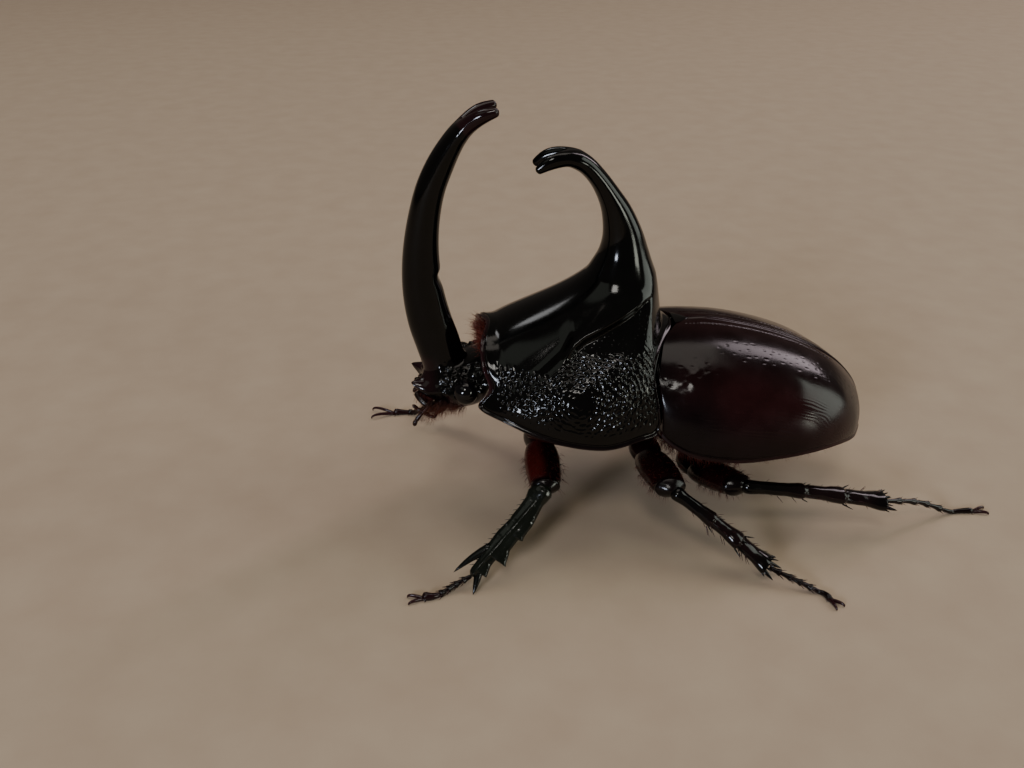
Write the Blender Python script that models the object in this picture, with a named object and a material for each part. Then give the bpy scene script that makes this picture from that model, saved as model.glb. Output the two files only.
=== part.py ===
"""A male rhinoceros beetle of the genus Xylotrupes, life size, standing on its six feet.

Lengths below are millimetres, turned to metres as each mesh is made. The beetle faces -X, its left
side is -Y, and the floor is at zero height. The body is mirrored over the plane of y = 0. Each leg
is posed by its own joints and toe path.
"""

import math

import bmesh
import bpy
import numpy as np
from mathutils import Vector

MM = 0.001

# Driving sizes.
SEAM = 0.2                        # gap between neighbouring pieces
SHELL = 0.8                       # thickness of an elytron
LIP = 0.9                         # thickness of the pronotum at its openings
ROUND = 28                        # points round the pronotum and the head
HALF = ROUND // 2
HORN_ROUND = 16                   # points round a horn
LIMB_ROUND = 10                   # points round a thigh

# Pronotum: its edge from the middle of the front to the middle of the rear. Each row is a place on
# the edge (x, y, z), the angle round the horn that it leads to in degrees (0 is forward), the
# Bezier handle that the surface leaves the edge along (x, y, z), and how far the surface flares out
# and down where it leaves the horn.
EDGE_MIRRORED = [1, 5]            # columns that change sign on the other side
EDGE_TURN = 3                     # column of the angle
EDGE_FLARE = 7                    # first column of the flare
THORAX_EDGE = [
    (-2.7, 0.0, 21.3, 0, 1.0, 0.0, 2.2, 3.2, 3.2),
    (-3.5, 3.6, 20.6, 24, 1.1, 0.4, 2.3, 3.2, 3.4),
    (-3.5, 5.7, 19.0, 40, 1.6, 1.4, 2.0, 3.0, 3.6),
    (-2.9, 6.6, 16.9, 52, 2.4, 2.2, 1.6, 2.8, 3.8),
    (-4.0, 7.0, 15.2, 60, 2.6, 2.4, 2.0, 2.6, 4.0),
    (-1.5, 9.0, 14.4, 70, 1.6, 1.8, 4.0, 2.4, 4.0),
    (3.0, 10.8, 12.9, 82, 0.6, 1.2, 6.0, 2.2, 4.0),
    (8.1, 11.4, 12.1, 98, 0.0, 0.9, 7.5, 2.0, 4.0),
    (12.0, 10.8, 12.6, 114, -0.2, 0.8, 7.0, 1.8, 3.6),
    (13.9, 10.0, 13.0, 126, -0.8, 0.8, 5.5, 1.5, 3.2),
    (14.0, 9.6, 15.4, 136, -1.8, 0.6, 3.5, 1.2, 3.0),
    (13.6, 8.1, 18.5, 147, -1.4, 0.2, 2.6, 1.0, 2.6),
    (14.9, 4.8, 20.2, 162, -0.9, 0.2, 2.4, 0.8, 2.4),
    (16.9, 0.0, 20.8, 180, -0.3, 0.0, 2.4, 0.6, 2.4),
]
THORAX_CORE = (3.0, 11.0, 15.5)   # the ridge that its hollow underside rises to: from x, to x, height
THORAX_STEPS = 7                  # rings from the horn out to the edge

# Horns: middle x and height of each ring, half its depth fore and aft, half its width. The rows of
# a prong add how far it stands from the middle plane, and a crotch is the x where the prongs part.
THORAX_HORN = [
    (11.3, 27.1, 3.60, 3.30),
    (11.35, 28.9, 2.75, 2.55),
    (11.15, 30.8, 2.15, 2.05),
    (10.55, 32.9, 1.65, 1.75),
    (9.70, 34.7, 1.25, 1.55),
    (8.55, 36.5, 1.02, 1.45),
    (7.25, 37.9, 0.98, 1.45),
    (5.80, 38.7, 0.98, 1.55),
]
THORAX_PRONG = [
    (4.6, 38.8, 0.80, 0.72, 1.05),
    (3.4, 38.5, 0.72, 0.66, 1.25),
    (2.5, 37.9, 0.45, 0.45, 1.35),
]
THORAX_CROTCH = 5.2
HEAD_HORN = [
    (-7.30, 17.3, 2.30, 2.15),
    (-7.85, 19.4, 2.35, 1.90),
    (-8.60, 22.0, 2.30, 1.80),
    (-9.10, 24.8, 2.15, 1.75),
    (-9.25, 27.6, 1.98, 1.70),
    (-9.12, 30.4, 1.78, 1.65),
    (-8.70, 33.2, 1.60, 1.60),
    (-8.00, 35.9, 1.48, 1.60),
    (-6.95, 38.3, 1.36, 1.60),
    (-5.80, 40.3, 1.15, 1.65),
    (-4.80, 41.6, 1.00, 1.70),
]
HEAD_PRONG = [
    (-3.8, 42.55, 0.82, 0.80, 1.05),
    (-2.75, 43.2, 0.72, 0.70, 1.40),
    (-1.7, 43.5, 0.50, 0.50, 1.60),
]
HEAD_CROTCH = -4.2

# Head: its widest line from the notch of the clypeus back over the eye to the top of the neck, with
# the same columns as the edge of the pronotum.
HEAD_EDGE = [
    (-9.8, 0.0, 15.9, 0, 0.2, 0.0, 0.5, 0.4, 0.4),
    (-10.1, 1.3, 15.8, 22, 0.3, 0.0, 0.4, 0.4, 0.4),
    (-10.5, 2.3, 15.7, 40, 0.4, 0.0, 0.3, 0.5, 0.5),
    (-9.2, 3.2, 15.1, 58, 0.2, 0.1, 0.5, 0.6, 0.6),
    (-7.9, 3.9, 15.2, 76, 0.0, 0.2, 0.8, 0.7, 0.7),
    (-6.6, 4.9, 15.4, 92, 0.0, 0.2, 1.2, 0.9, 0.8),
    (-5.0, 5.2, 15.5, 110, 0.0, 0.2, 1.6, 1.0, 0.8),
    (-3.4, 5.0, 16.1, 128, -0.2, 0.2, 1.6, 1.0, 0.8),
    (-2.2, 4.3, 17.3, 144, -0.5, 0.3, 1.0, 1.0, 0.6),
    (-1.8, 2.4, 19.0, 162, -0.8, 0.1, 0.3, 1.0, 0.5),
    (-1.8, 0.0, 19.5, 180, -0.9, 0.0, 0.3, 1.0, 0.5),
]
HEAD_STEPS = 4                    # rings from the horn out to the widest line
CHIN = (-5.4, 12.8)               # middle x and height of the underside of the head
NECK = -1.9                       # the head reaches no further back than this below its edge
EYE = (-5.2, 4.6, 15.7)
EYE_RADIUS = 1.3

# Prothorax below the pronotum: each ring's share of the width, share of the height, added height.
BREAST = [(0.96, 0.7, 3.1), (0.70, 0.3, 7.3), (0.44, 0.1, 8.1), (0.2, 0.0, 8.5)]
BREAST_MIDDLE = (5.6, 8.3)        # x and height of its lowest point

# Mouthparts of the right side: x, y, z, half width and half thickness along each.
LABIUM = ((-6.4, 0.0, 12.2), (2.1, 1.3, 0.42))
MANDIBLE = [
    (-8.0, 2.0, 12.5, 0.75, 0.45),
    (-9.0, 2.3, 13.2, 0.70, 0.45),
    (-9.8, 2.0, 13.8, 0.55, 0.38),
    (-10.4, 1.4, 14.3, 0.32, 0.28),
]
PALP = [
    (-8.5, 3.15, 12.2, 0.28, 0.28),
    (-9.3, 3.0, 12.4, 0.28, 0.28),
    (-10.1, 2.7, 12.8, 0.32, 0.32),
    (-10.8, 2.5, 13.35, 0.26, 0.26),
]
ANTENNA = [
    (-8.2, 3.1, 13.55, 0.28, 0.26),
    (-8.9, 3.3, 13.6, 0.28, 0.26),
    (-9.75, 3.5, 12.9, 0.28, 0.28),
    (-10.45, 3.65, 12.05, 0.36, 0.36),
    (-10.7, 3.75, 11.45, 0.28, 0.28),
]

# Elytron: x of the seam and of the outer edge, half width, height of the seam, height of the edge.
ELYTRON = [
    (17.5, 15.0, 9.9, 21.2, 13.4),
    (20.0, 18.1, 11.2, 21.2, 11.4),
    (23.0, 22.0, 11.8, 20.8, 10.9),
    (26.5, 26.0, 11.9, 19.9, 11.2),
    (30.0, 29.8, 11.4, 18.7, 11.5),
    (33.3, 33.0, 9.9, 17.1, 11.3),
    (36.0, 35.6, 7.6, 15.3, 10.6),
    (38.0, 37.4, 4.8, 13.1, 9.8),
    (39.0, 38.6, 2.5, 11.0, 9.1),
    (39.3, 39.2, 1.0, 9.5, 8.7),
]
ELYTRON_TUCK = 0.9                # how far the edge turns in below its widest line
ELYTRON_ARC = 104                 # degrees of arc from the seam to the edge
ELYTRON_FULLNESS = 0.95           # power of the arc's sine and cosine; 1 is a plain ellipse
ELYTRON_ACROSS = 11               # points from the seam to the edge
ELYTRON_ALONG = 12                # points from the base to the tip
SCUTELLUM = (1.3, 1.5)            # half width and length of the plate between the elytra
SCUTELLUM_LAP = 0.4               # how far it starts ahead of the elytra
SCUTELLUM_RAKE = (0.6, 0.3)       # its sides narrow over this length, by this much

# Trunk under the elytra: x, half width, height of the top, of the widest line and of the belly.
METATHORAX = [
    (14.4, 6.0, 17.2, 13.2, 9.4),
    (15.8, 8.0, 18.3, 12.8, 7.6),
    (17.6, 9.2, 19.2, 12.4, 6.2),
    (20.0, 10.1, 19.4, 11.9, 5.3),
    (23.3, 10.6, 19.0, 11.8, 5.1),
]
ABDOMEN = [
    (23.55, 10.6, 18.9, 11.8, 5.2),
    (27.0, 10.6, 18.0, 11.8, 5.3),
    (30.5, 9.9, 16.6, 11.8, 5.8),
    (33.4, 8.3, 15.0, 11.2, 6.4),
    (35.6, 6.1, 13.2, 10.5, 7.0),
]
PYGIDIUM = [
    (35.85, 5.7, 12.6, 10.3, 7.1),
    (37.0, 3.8, 11.6, 9.9, 7.4),
    (37.8, 2.0, 10.7, 9.5, 7.8),
    (38.1, 0.7, 10.0, 9.1, 8.3),
]
BACK = 0.9                        # power that makes the back full; 1 is a plain ellipse
KEEL = 1.25                       # power that narrows the belly

# Legs: hip, knee, ankle, the path of the foot out to the claws, the length of the claws, and for a
# fore leg the side of the shin that bears its teeth.
LEGS = {
    "fore_left": dict(
        hip=(2.6, -4.4, 9.2),
        knee=(2.4, -11.8, 8.0),
        ankle=(-5.2, -16.3, 1.7),
        toes=[(-5.5, -16.4, 1.3), (-7.1, -16.9, 0.75), (-9.2, -17.9, 0.16), (-10.2, -18.0, 0.12)],
        claw=1.7,
        blade=(0.62, -0.60, -0.50),
        tip_lean=1.8,
    ),
    "fore_right": dict(
        hip=(2.6, 4.4, 9.2),
        knee=(-1.6, 11.4, 8.4),
        ankle=(-9.0, 16.2, 2.4),
        toes=[(-9.3, 16.5, 2.0), (-10.6, 18.0, 0.95), (-11.6, 19.0, 0.22), (-13.6, 19.1, 0.12)],
        claw=3.2,
        blade=(0.30, 0.75, -0.56),
        tip_lean=0.5,
    ),
    "mid_left": dict(
        hip=(14.4, -4.2, 6.9),
        knee=(15.1, -12.9, 8.0),
        ankle=(24.1, -17.6, 1.7),
        toes=[(24.4, -17.8, 1.4), (26.9, -19.6, 0.9), (28.9, -20.6, 0.16), (29.4, -21.6, 0.12)],
        claw=1.5,
        blade=None,
    ),
    "mid_right": dict(
        hip=(14.4, 4.2, 6.9),
        knee=(15.0, 13.0, 8.0),
        ankle=(21.6, 20.0, 1.7),
        toes=[(21.9, 20.3, 1.4), (23.6, 22.6, 0.9), (25.0, 24.4, 0.16), (25.7, 25.3, 0.12)],
        claw=1.5,
        blade=None,
    ),
    "hind_left": dict(
        hip=(20.0, -4.2, 4.9),
        knee=(22.7, -11.4, 7.0),
        ankle=(38.4, -11.2, 4.1),
        toes=[(38.8, -11.1, 4.0), (43.6, -9.6, 2.5), (48.2, -8.6, 0.25), (50.6, -8.6, 0.12)],
        claw=1.7,
        blade=None,
    ),
    "hind_right": dict(
        hip=(20.0, 4.2, 4.9),
        knee=(23.4, 11.8, 7.0),
        ankle=(31.6, 20.0, 3.0),
        toes=[(31.9, 20.3, 2.7), (34.3, 23.6, 1.3), (36.0, 26.6, 0.18), (36.6, 28.2, 0.12)],
        claw=1.7,
        blade=None,
    ),
}
COXA = {"fore": (1.6, 2.4, 1.5), "mid": (1.7, 2.2, 1.3), "hind": (1.8, 2.6, 1.2)}  # half sizes
HIP_REACH = 1.2                   # how far the middle of a coxa lies inside its hip
HIP_GAP = 0.35                    # between a coxa and its thigh
KNEE_GAP = (0.30, 0.55)           # from the knee back to the thigh, and on to the shin
THIGH = {"fore": (1.85, 1.2), "mid": (2.0, 1.25), "hind": (2.1, 1.3)}  # half width, half thickness
THIGH_SWELL = (0.65, 0.9, 1.0, 1.0, 0.95, 0.85, 0.62)
SHIN = {"fore": (0.95, 1.25, 0.62), "mid": (0.65, 1.25, 0.75), "hind": (0.65, 1.35, 0.8)}
SHIN_RINGS = 9                    # half widths above are at knee and ankle, then half thickness

# Teeth and spurs of the shins: the ring that each starts at, its length and, for a fore tooth, how
# far it leans on towards the foot. The last tooth has its own lean, which leaves room for the foot.
FORE_TEETH = [(4, 1.2, 0.35), (6, 1.6, 0.35), (7, 1.4, 1.0), (8, 2.3, None)]
TOOTH_OUT = 0.4                   # how far out from the middle of the shin a tooth starts
FORE_SPUR = (6, 4.3)
END_SPURS = [(1, 2.0), (-1, 2.4)]          # side, length
SIDE_SPINES = [(4, 1), (5, -1)]            # ring, side
SIDE_SPINE_LENGTH = 1.7
TOOTH_RADIUS = 0.48
SPUR_RADIUS = 0.42
SPINE_RADIUS = 0.36
POINT_RADIUS = 0.12

# Feet: joints, their radius at the narrow, middle and wide place, and the shape of a claw as its
# reach, spread and lift as shares of its length, then its radius.
FOOT_JOINTS = 5
FOOT_RADII = (0.27, 0.36, 0.43)
FORE_FOOT_SCALE = 1.15
CLAW = [
    (0.25, 0.15, 0.06, 0.28),
    (0.60, 0.275, 0.07, 0.26),
    (0.90, 0.30, -0.025, 0.22),
    (1.00, 0.275, -0.06, 0.12),
]

# Colours, as linear RGB.
CHITIN = (0.012, 0.009, 0.009)
WINE_CHITIN = (0.045, 0.012, 0.012)
BROWN_CHITIN = (0.09, 0.025, 0.015)
EYE_BLACK = (0.006, 0.006, 0.007)


def clear_scene():
    for item in list(bpy.data.objects):
        bpy.data.objects.remove(item, do_unlink=True)


def material(name, colour, roughness):
    made = bpy.data.materials.get(name) or bpy.data.materials.new(name)
    made.use_nodes = True
    shader = made.node_tree.nodes["Principled BSDF"]
    shader.inputs["Base Color"].default_value = (*colour, 1.0)
    shader.inputs["Roughness"].default_value = roughness
    shader.inputs["Metallic"].default_value = 0.0
    return made


def mirror_edge(rows, whole_turn):
    """Edge rows on the other side of the middle plane. Their angles count down from whole_turn."""
    rows = np.array(rows, float)
    rows[..., EDGE_MIRRORED] *= -1
    rows[..., EDGE_TURN] = whole_turn - rows[..., EDGE_TURN]
    return rows


def through(rows, count, before=None, after=None):
    """Rows of values read at even steps along a smooth curve through each row. The rows before and
    after say where the curve comes from and goes to; left out, it runs on straight."""
    rows = np.array(rows, float)
    if before is None:
        before = 2 * rows[0] - rows[1]
    if after is None:
        after = 2 * rows[-1] - rows[-2]
    padded = np.vstack([before, rows, after])
    steps = np.linspace(0, len(rows) - 1, count)
    low = np.minimum(steps.astype(int), len(rows) - 2)
    t = (steps - low)[:, None]
    a, b, c, d = (padded[low + k] for k in range(4))
    bend = (2 * a - 5 * b + 4 * c - d) * t**2
    twist = (3 * b - a - 3 * c + d) * t**3
    return 0.5 * (2 * b + (c - a) * t + bend + twist)


def unit(vector):
    vector = np.array(vector, float)
    return vector / np.linalg.norm(vector)


def oval(centre, fore, side, angles):
    """Points round an oval: angle 0 lies along fore, a quarter turn along side."""
    angles = np.asarray(angles)[:, None]
    return np.array(centre) + np.cos(angles) * np.array(fore) + np.sin(angles) * np.array(side)


class Skin:
    """A mesh grown ring by ring."""

    def __init__(self):
        self.bm = bmesh.new()

    def ring(self, points):
        return [self.bm.verts.new(Vector(point) * MM) for point in points]

    def bridge(self, ring, following):
        for k in range(len(ring)):
            n = (k + 1) % len(ring)
            self.bm.faces.new((ring[k], ring[n], following[n], following[k]))

    def grow(self, ring, loops):
        for loop in loops:
            following = self.ring(loop)
            self.bridge(ring, following)
            ring = following
        return ring

    def close(self, ring, point=None):
        if point is None:
            self.bm.faces.new(ring)
            return
        tip = self.bm.verts.new(Vector(point) * MM)
        for k in range(len(ring)):
            self.bm.faces.new((ring[k], ring[(k + 1) % len(ring)], tip))

    def fork(self, ring, crotch, prongs):
        """Ends a ring in two prongs, which meet at the crotch point between them."""
        half = len(ring) // 2
        edge = self.ring([crotch])
        starts = (ring[:half + 1] + edge, ring[half:] + ring[:1] + edge)
        for start, (loops, tip) in zip(starts, prongs):
            self.close(self.grow(start, loops), tip)

    def finish(self, name, surface):
        bmesh.ops.remove_doubles(self.bm, verts=self.bm.verts, dist=1e-7)
        bmesh.ops.recalc_face_normals(self.bm, faces=self.bm.faces)
        mesh = bpy.data.meshes.new(name)
        self.bm.to_mesh(mesh)
        self.bm.free()
        mesh.shade_smooth()
        mesh.materials.append(surface)
        made = bpy.data.objects.new(name, mesh)
        bpy.context.collection.objects.link(made)
        return made


def fork_angles(turn, half):
    """Angles of a prong's ring: the outer half turn, then the one point that faces its twin."""
    outer = [turn + math.pi * k / half for k in range(half + 1)]
    return outer + [turn + 1.5 * math.pi]


def square_to(way):
    """The forward direction of a ring whose horn grows along way, in the middle plane."""
    return unit((-way[2], 0.0, way[0]))


def prong(rows, side, turn):
    """Loops and tip of one prong of a horn."""
    path = np.array([(x, side * y, z) for x, z, _, _, y in rows])
    around = fork_angles(turn, HORN_ROUND // 2)
    loops = []
    for place, way, (_, _, deep, wide, _) in zip(path, np.gradient(path, axis=0), rows):
        fore = square_to(way)
        across = np.cross(fore, unit(way))
        across *= np.sign(across[1])
        loops.append(oval(place, fore * deep, across * wide, around))
    tip = path[-1] + unit(path[-1] - path[-2]) * rows[-1][2] * 0.7
    return loops, tip


def horn(name, rows, prong_rows, crotch_x, surface):
    """A horn in the plane of y = 0, closed flat at its base and forked at its tip."""
    middles = np.array([(x, 0.0, z) for x, z, *_ in rows + prong_rows[:1]])
    heading = np.gradient(middles, axis=0)[:-1]
    angles = np.linspace(0, 2 * math.pi, HORN_ROUND, endpoint=False)
    loops = [
        oval(middle, square_to(way) * depth, (0.0, width, 0.0), angles)
        for middle, way, (_, _, depth, width) in zip(middles, heading, rows)
    ]
    skin = Skin()
    first = skin.ring(loops[0])
    skin.close(first)
    last = skin.grow(first, loops[1:])
    x, z = rows[-1][:2]
    slope = heading[-1][2] / heading[-1][0]
    crotch = (crotch_x, 0.0, z + (crotch_x - x) * slope)
    skin.fork(last, crotch, [prong(prong_rows, 1, 0.0), prong(prong_rows, -1, math.pi)])
    return skin.finish(name, surface)


def whole_edge(rows):
    """The rows of an edge all round: the right half as given, the left half its image."""
    right = through(rows, HALF + 1, mirror_edge(rows[1], 0), mirror_edge(rows[-2], 360))
    left = mirror_edge(right[HALF - 1:0:-1], 360)
    return np.vstack([right, left])


def horn_foot(rows, drop):
    """Middle, forward and upward directions of a horn's first ring, let down by drop."""
    (x, z, depth, width), (x_next, z_next, _, _) = rows[:2]
    up = unit((x_next - x, 0.0, z_next - z))
    fore = square_to(up)
    return np.array((x, 0.0, z)) - up * drop, fore, up, depth, width


def flare(edge, foot, steps):
    """Rings from the foot of a horn out to the edge, each run a Bezier curve."""
    middle, fore, up, depth, width = foot
    turn = np.radians(edge[:, EDGE_TURN])[:, None]
    side = np.array((0.0, 1.0, 0.0))
    inner = middle + np.cos(turn) * fore * depth + np.sin(turn) * side * width
    outward = np.cos(turn) * fore + np.sin(turn) * side
    out, down = edge[:, EDGE_FLARE, None], edge[:, EDGE_FLARE + 1, None]
    inner_hand = inner + outward * out - up * down
    outer = edge[:, :3]
    outer_hand = outer + edge[:, EDGE_TURN + 1:EDGE_FLARE]
    rings = []
    for t in np.linspace(0, 1, steps + 1):
        s = 1 - t
        near_horn = s**3 * inner + 3 * s * s * t * inner_hand
        near_edge = 3 * s * t * t * outer_hand + t**3 * outer
        rings.append(near_horn + near_edge)
    return rings


def pronotum(surface):
    """The shield behind the head. It is open in front and behind, and hollow below."""
    edge = whole_edge(THORAX_EDGE)
    rings = flare(edge, horn_foot(THORAX_HORN, SEAM), THORAX_STEPS)
    rim = rings[-1]
    from_x, to_x, ridge = THORAX_CORE
    core = np.column_stack([np.clip(rim[:, 0], from_x, to_x), np.zeros(ROUND), np.full(ROUND, ridge)])
    inward = core - rim
    lip = rim + inward / np.linalg.norm(inward, axis=1, keepdims=True) * LIP
    skin = Skin()
    first = skin.ring(rings[0])
    skin.close(first)
    last = skin.grow(first, rings[1:])
    skin.grow(last, [lip, rim + inward * 0.35, rim + inward * 0.75, core])
    return skin.finish("pronotum", surface)


def prosternum(surface):
    """The underside of the prothorax, from the edge of the pronotum down to the breast."""
    rim = whole_edge(THORAX_EDGE)[:, :3]
    from_x, to_x, ridge = THORAX_CORE
    front = rim[:, 0] < BREAST_MIDDLE[0]
    edge = rim.copy()
    edge[:, 0] = np.clip(rim[:, 0], -0.6, 13.2)
    edge[:, 1] *= 0.94
    edge[:, 2] = np.minimum(rim[:, 2], np.where(front, 14.6, 13.2)) - 0.45
    core = np.column_stack([np.clip(edge[:, 0], from_x, to_x), np.zeros(ROUND), np.full(ROUND, ridge)])
    core[:, 2] -= 0.5
    middle = np.array((BREAST_MIDDLE[0], 0.0, 0.0))
    below = []
    for wide, share, low in BREAST:
        ring = middle + (edge - middle) * wide
        ring[:, 2] = edge[:, 2] * share + low
        below.append(ring)
    skin = Skin()
    last = skin.grow(skin.ring(core), [core + (edge - core) * 0.5, edge] + below)
    skin.close(last, (BREAST_MIDDLE[0], 0.0, BREAST_MIDDLE[1]))
    return skin.finish("prosternum", surface)


def head(surface):
    """The head capsule, from the notched clypeus to the neck."""
    edge = whole_edge(HEAD_EDGE)
    rings = flare(edge, horn_foot(HEAD_HORN, SEAM), HEAD_STEPS)
    rim = rings[-1]
    chin = np.array((CHIN[0], 0.0, CHIN[1]))
    under = []
    for inward, down in ((0.10, 0.35), (0.30, 0.72), (0.6, 0.95)):
        ring = rim + (chin - rim) * (inward, inward, down)
        ring[:, 0] = np.minimum(ring[:, 0], NECK)
        under.append(ring)
    skin = Skin()
    first = skin.ring(rings[0])
    skin.close(first)
    last = skin.grow(first, rings[1:] + under)
    skin.close(last, chin)
    return skin.finish("head", surface)


def ball(name, centre, radii, surface, rings=6, segments=10):
    """An egg shape about centre."""
    angles = np.linspace(0, 2 * math.pi, segments, endpoint=False)
    loops = []
    for polar in np.linspace(0, math.pi, rings + 1)[1:-1]:
        level = np.array(centre) + (0, 0, radii[2] * math.cos(polar))
        wide = math.sin(polar)
        loops.append(oval(level, (radii[0] * wide, 0, 0), (0, radii[1] * wide, 0), angles))
    skin = Skin()
    first = skin.ring(loops[0])
    skin.close(first, np.array(centre) + (0, 0, radii[2]))
    skin.close(skin.grow(first, loops[1:]), np.array(centre) - (0, 0, radii[2]))
    return skin.finish(name, surface)


def boolean(target, tool, operation):
    """Cuts the tool from the target or joins it on. The tool is a hidden guide."""
    tool.hide_render = True
    tool.display_type = "WIRE"
    change = target.modifiers.new(operation.lower(), "BOOLEAN")
    change.operation = operation
    change.object = tool


def eyes(capsule, surface):
    for side, sign in (("left", -1), ("right", 1)):
        centre = (EYE[0], sign * EYE[1], EYE[2])
        ball(f"eye_{side}", centre, (EYE_RADIUS,) * 3, surface)
        socket = ball(f"socket_{side}", centre, (EYE_RADIUS + SEAM,) * 3, surface)
        boolean(capsule, socket, "DIFFERENCE")


def tube_rings(path, widths, depths, up, sides):
    """Loops round a path. Widths lie across it, depths towards up."""
    path = np.array(path, float)
    heading = np.gradient(path, axis=0)
    angles = np.linspace(0, 2 * math.pi, sides, endpoint=False)
    loops = []
    for place, way, wide, deep in zip(path, heading, widths, depths):
        side = unit(np.cross(unit(way), up))
        top = unit(np.cross(side, unit(way)))
        loops.append(oval(place, top * deep, side * wide, angles))
    return loops


def tube(name, path, widths, depths, up, surface, sides=LIMB_ROUND):
    """A limb along a path, closed at both ends."""
    loops = tube_rings(path, widths, depths, up, sides)
    skin = Skin()
    first = skin.ring(loops[0])
    skin.close(first)
    skin.close(skin.grow(first, loops[1:]))
    return skin.finish(name, surface)


def flat_on_floor(loop):
    """The loop with all that lies below the floor brought up to it, which makes a flat."""
    loop[:, 2] = np.maximum(loop[:, 2], 0.0)
    return loop


def mouth(surface):
    """Mandibles, palps, chin and feelers, all small and close under the head."""
    ball("labium", *LABIUM, surface, 5, 10)
    for side, sign in (("left", -1), ("right", 1)):
        for name, rows, sides in (("mandible", MANDIBLE, 8), ("palp", PALP, 6), ("antenna", ANTENNA, 6)):
            rows = np.array(rows) * (1, sign, 1, 1, 1)
            tube(f"{name}_{side}", rows[:, :3], rows[:, 3], rows[:, 4], (0, 0, 1), surface, sides)


def elytron_grid(inset):
    """One elytron's surface, inset for its inner side: rows from base to tip, each from the seam
    to the edge. The base is notched for the scutellum."""
    rows = through(ELYTRON, ELYTRON_ALONG)
    bend = np.radians(np.linspace(0, ELYTRON_ARC, ELYTRON_ACROSS))
    cosine = np.sign(np.cos(bend)) * np.abs(np.cos(bend)) ** ELYTRON_FULLNESS
    sine = np.sin(bend) ** ELYTRON_FULLNESS
    tuck = ELYTRON_TUCK / abs(math.cos(bend[-1]))
    grid = np.zeros((ELYTRON_ALONG, ELYTRON_ACROSS, 3))
    for line, along, (x_seam, x_edge, wide, high, low) in zip(grid, np.linspace(0, 1, len(rows)), rows):
        wide = max(wide - inset, 0.35)
        high = max(high - inset, low + 0.25)
        line[:, 0] = x_seam + (x_edge - x_seam) * sine - inset * along**4
        line[:, 1] = SEAM / 2 + (wide - SEAM / 2) * sine
        line[:, 2] = low + np.where(cosine > 0, high - low, tuck) * cosine
        notch = np.maximum(0.0, 1 - line[:, 1] / SCUTELLUM[0]) * SCUTELLUM[1]
        line[:, 0] += notch * max(0.0, 1 - along * 4)
    return grid


def elytron(side, surface):
    """A wing case: a shell with the same thickness all over."""
    sign = -1 if side == "left" else 1
    outer = elytron_grid(0.0) * (1, sign, 1)
    inner = elytron_grid(SHELL) * (1, sign, 1)
    skin = Skin()
    loops = [skin.ring(np.vstack([out, back[::-1]])) for out, back in zip(outer, inner)]
    for ring, following in zip(loops, loops[1:]):
        skin.bridge(ring, following)
    for ring in (loops[0], loops[-1]):
        for k in range(ELYTRON_ACROSS - 1):
            skin.bm.faces.new((ring[k], ring[k + 1], ring[-2 - k], ring[-1 - k]))
    return skin.finish(f"elytron_{side}", surface)


def trunk(name, rows, count, surface, sides=20):
    """A length of the trunk, from rows of half width, top, widest line and belly."""
    angles = np.linspace(0, 2 * math.pi, sides, endpoint=False)
    loops = []
    power = np.where(np.cos(angles) > 0, BACK, KEEL)
    for x, wide, top, middle, belly in through(rows, count):
        rise = np.where(np.cos(angles) > 0, top - middle, middle - belly)
        height = np.sign(np.cos(angles)) * np.abs(np.cos(angles)) ** power * rise
        reach = np.sign(np.sin(angles)) * np.abs(np.sin(angles)) ** power * wide
        loops.append(np.column_stack([np.full(sides, x), reach, middle + height]))
    skin = Skin()
    first = skin.ring(loops[0])
    skin.close(first)
    skin.close(skin.grow(first, loops[1:]))
    return skin.finish(name, surface)


def scutellum(surface):
    """The small triangular plate between the bases of the elytra."""
    wide, long = SCUTELLUM
    rake, narrower = SCUTELLUM_RAKE
    high = ELYTRON[0][3] + 0.05
    outline = np.array([
        (0, -wide, 0),
        (0, wide, 0),
        (rake, wide - narrower, 0),
        (long + SEAM, 0, 0),
        (rake, narrower - wide, 0),
    ]) + (ELYTRON[0][0] - SCUTELLUM_LAP, 0, high)
    skin = Skin()
    first = skin.ring(outline)
    skin.close(first)
    skin.close(skin.grow(first, [outline - (0, 0, SHELL)]))
    return skin.finish("scutellum", surface)


def limb_path(start, end, count, bow=0.0):
    """Points from start to end, bowed upwards by bow at the middle."""
    t = np.linspace(0, 1, count)[:, None]
    return np.array(start) * (1 - t) + np.array(end) * t + np.array((0, 0, 4 * bow)) * t * (1 - t)


def femur(name, leg, kind, surface):
    wide, thick = THIGH[kind]
    hip = np.array(leg["hip"])
    knee = np.array(leg["knee"])
    way = unit(knee - hip)
    start = hip + way * (COXA[kind][1] - HIP_REACH + HIP_GAP)
    path = limb_path(start, knee - way * KNEE_GAP[0], len(THIGH_SWELL))
    swell = np.array(THIGH_SWELL)
    return tube(name, path, wide * swell, thick * (0.25 + 0.75 * swell), (0, 0, 1), surface)


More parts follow.
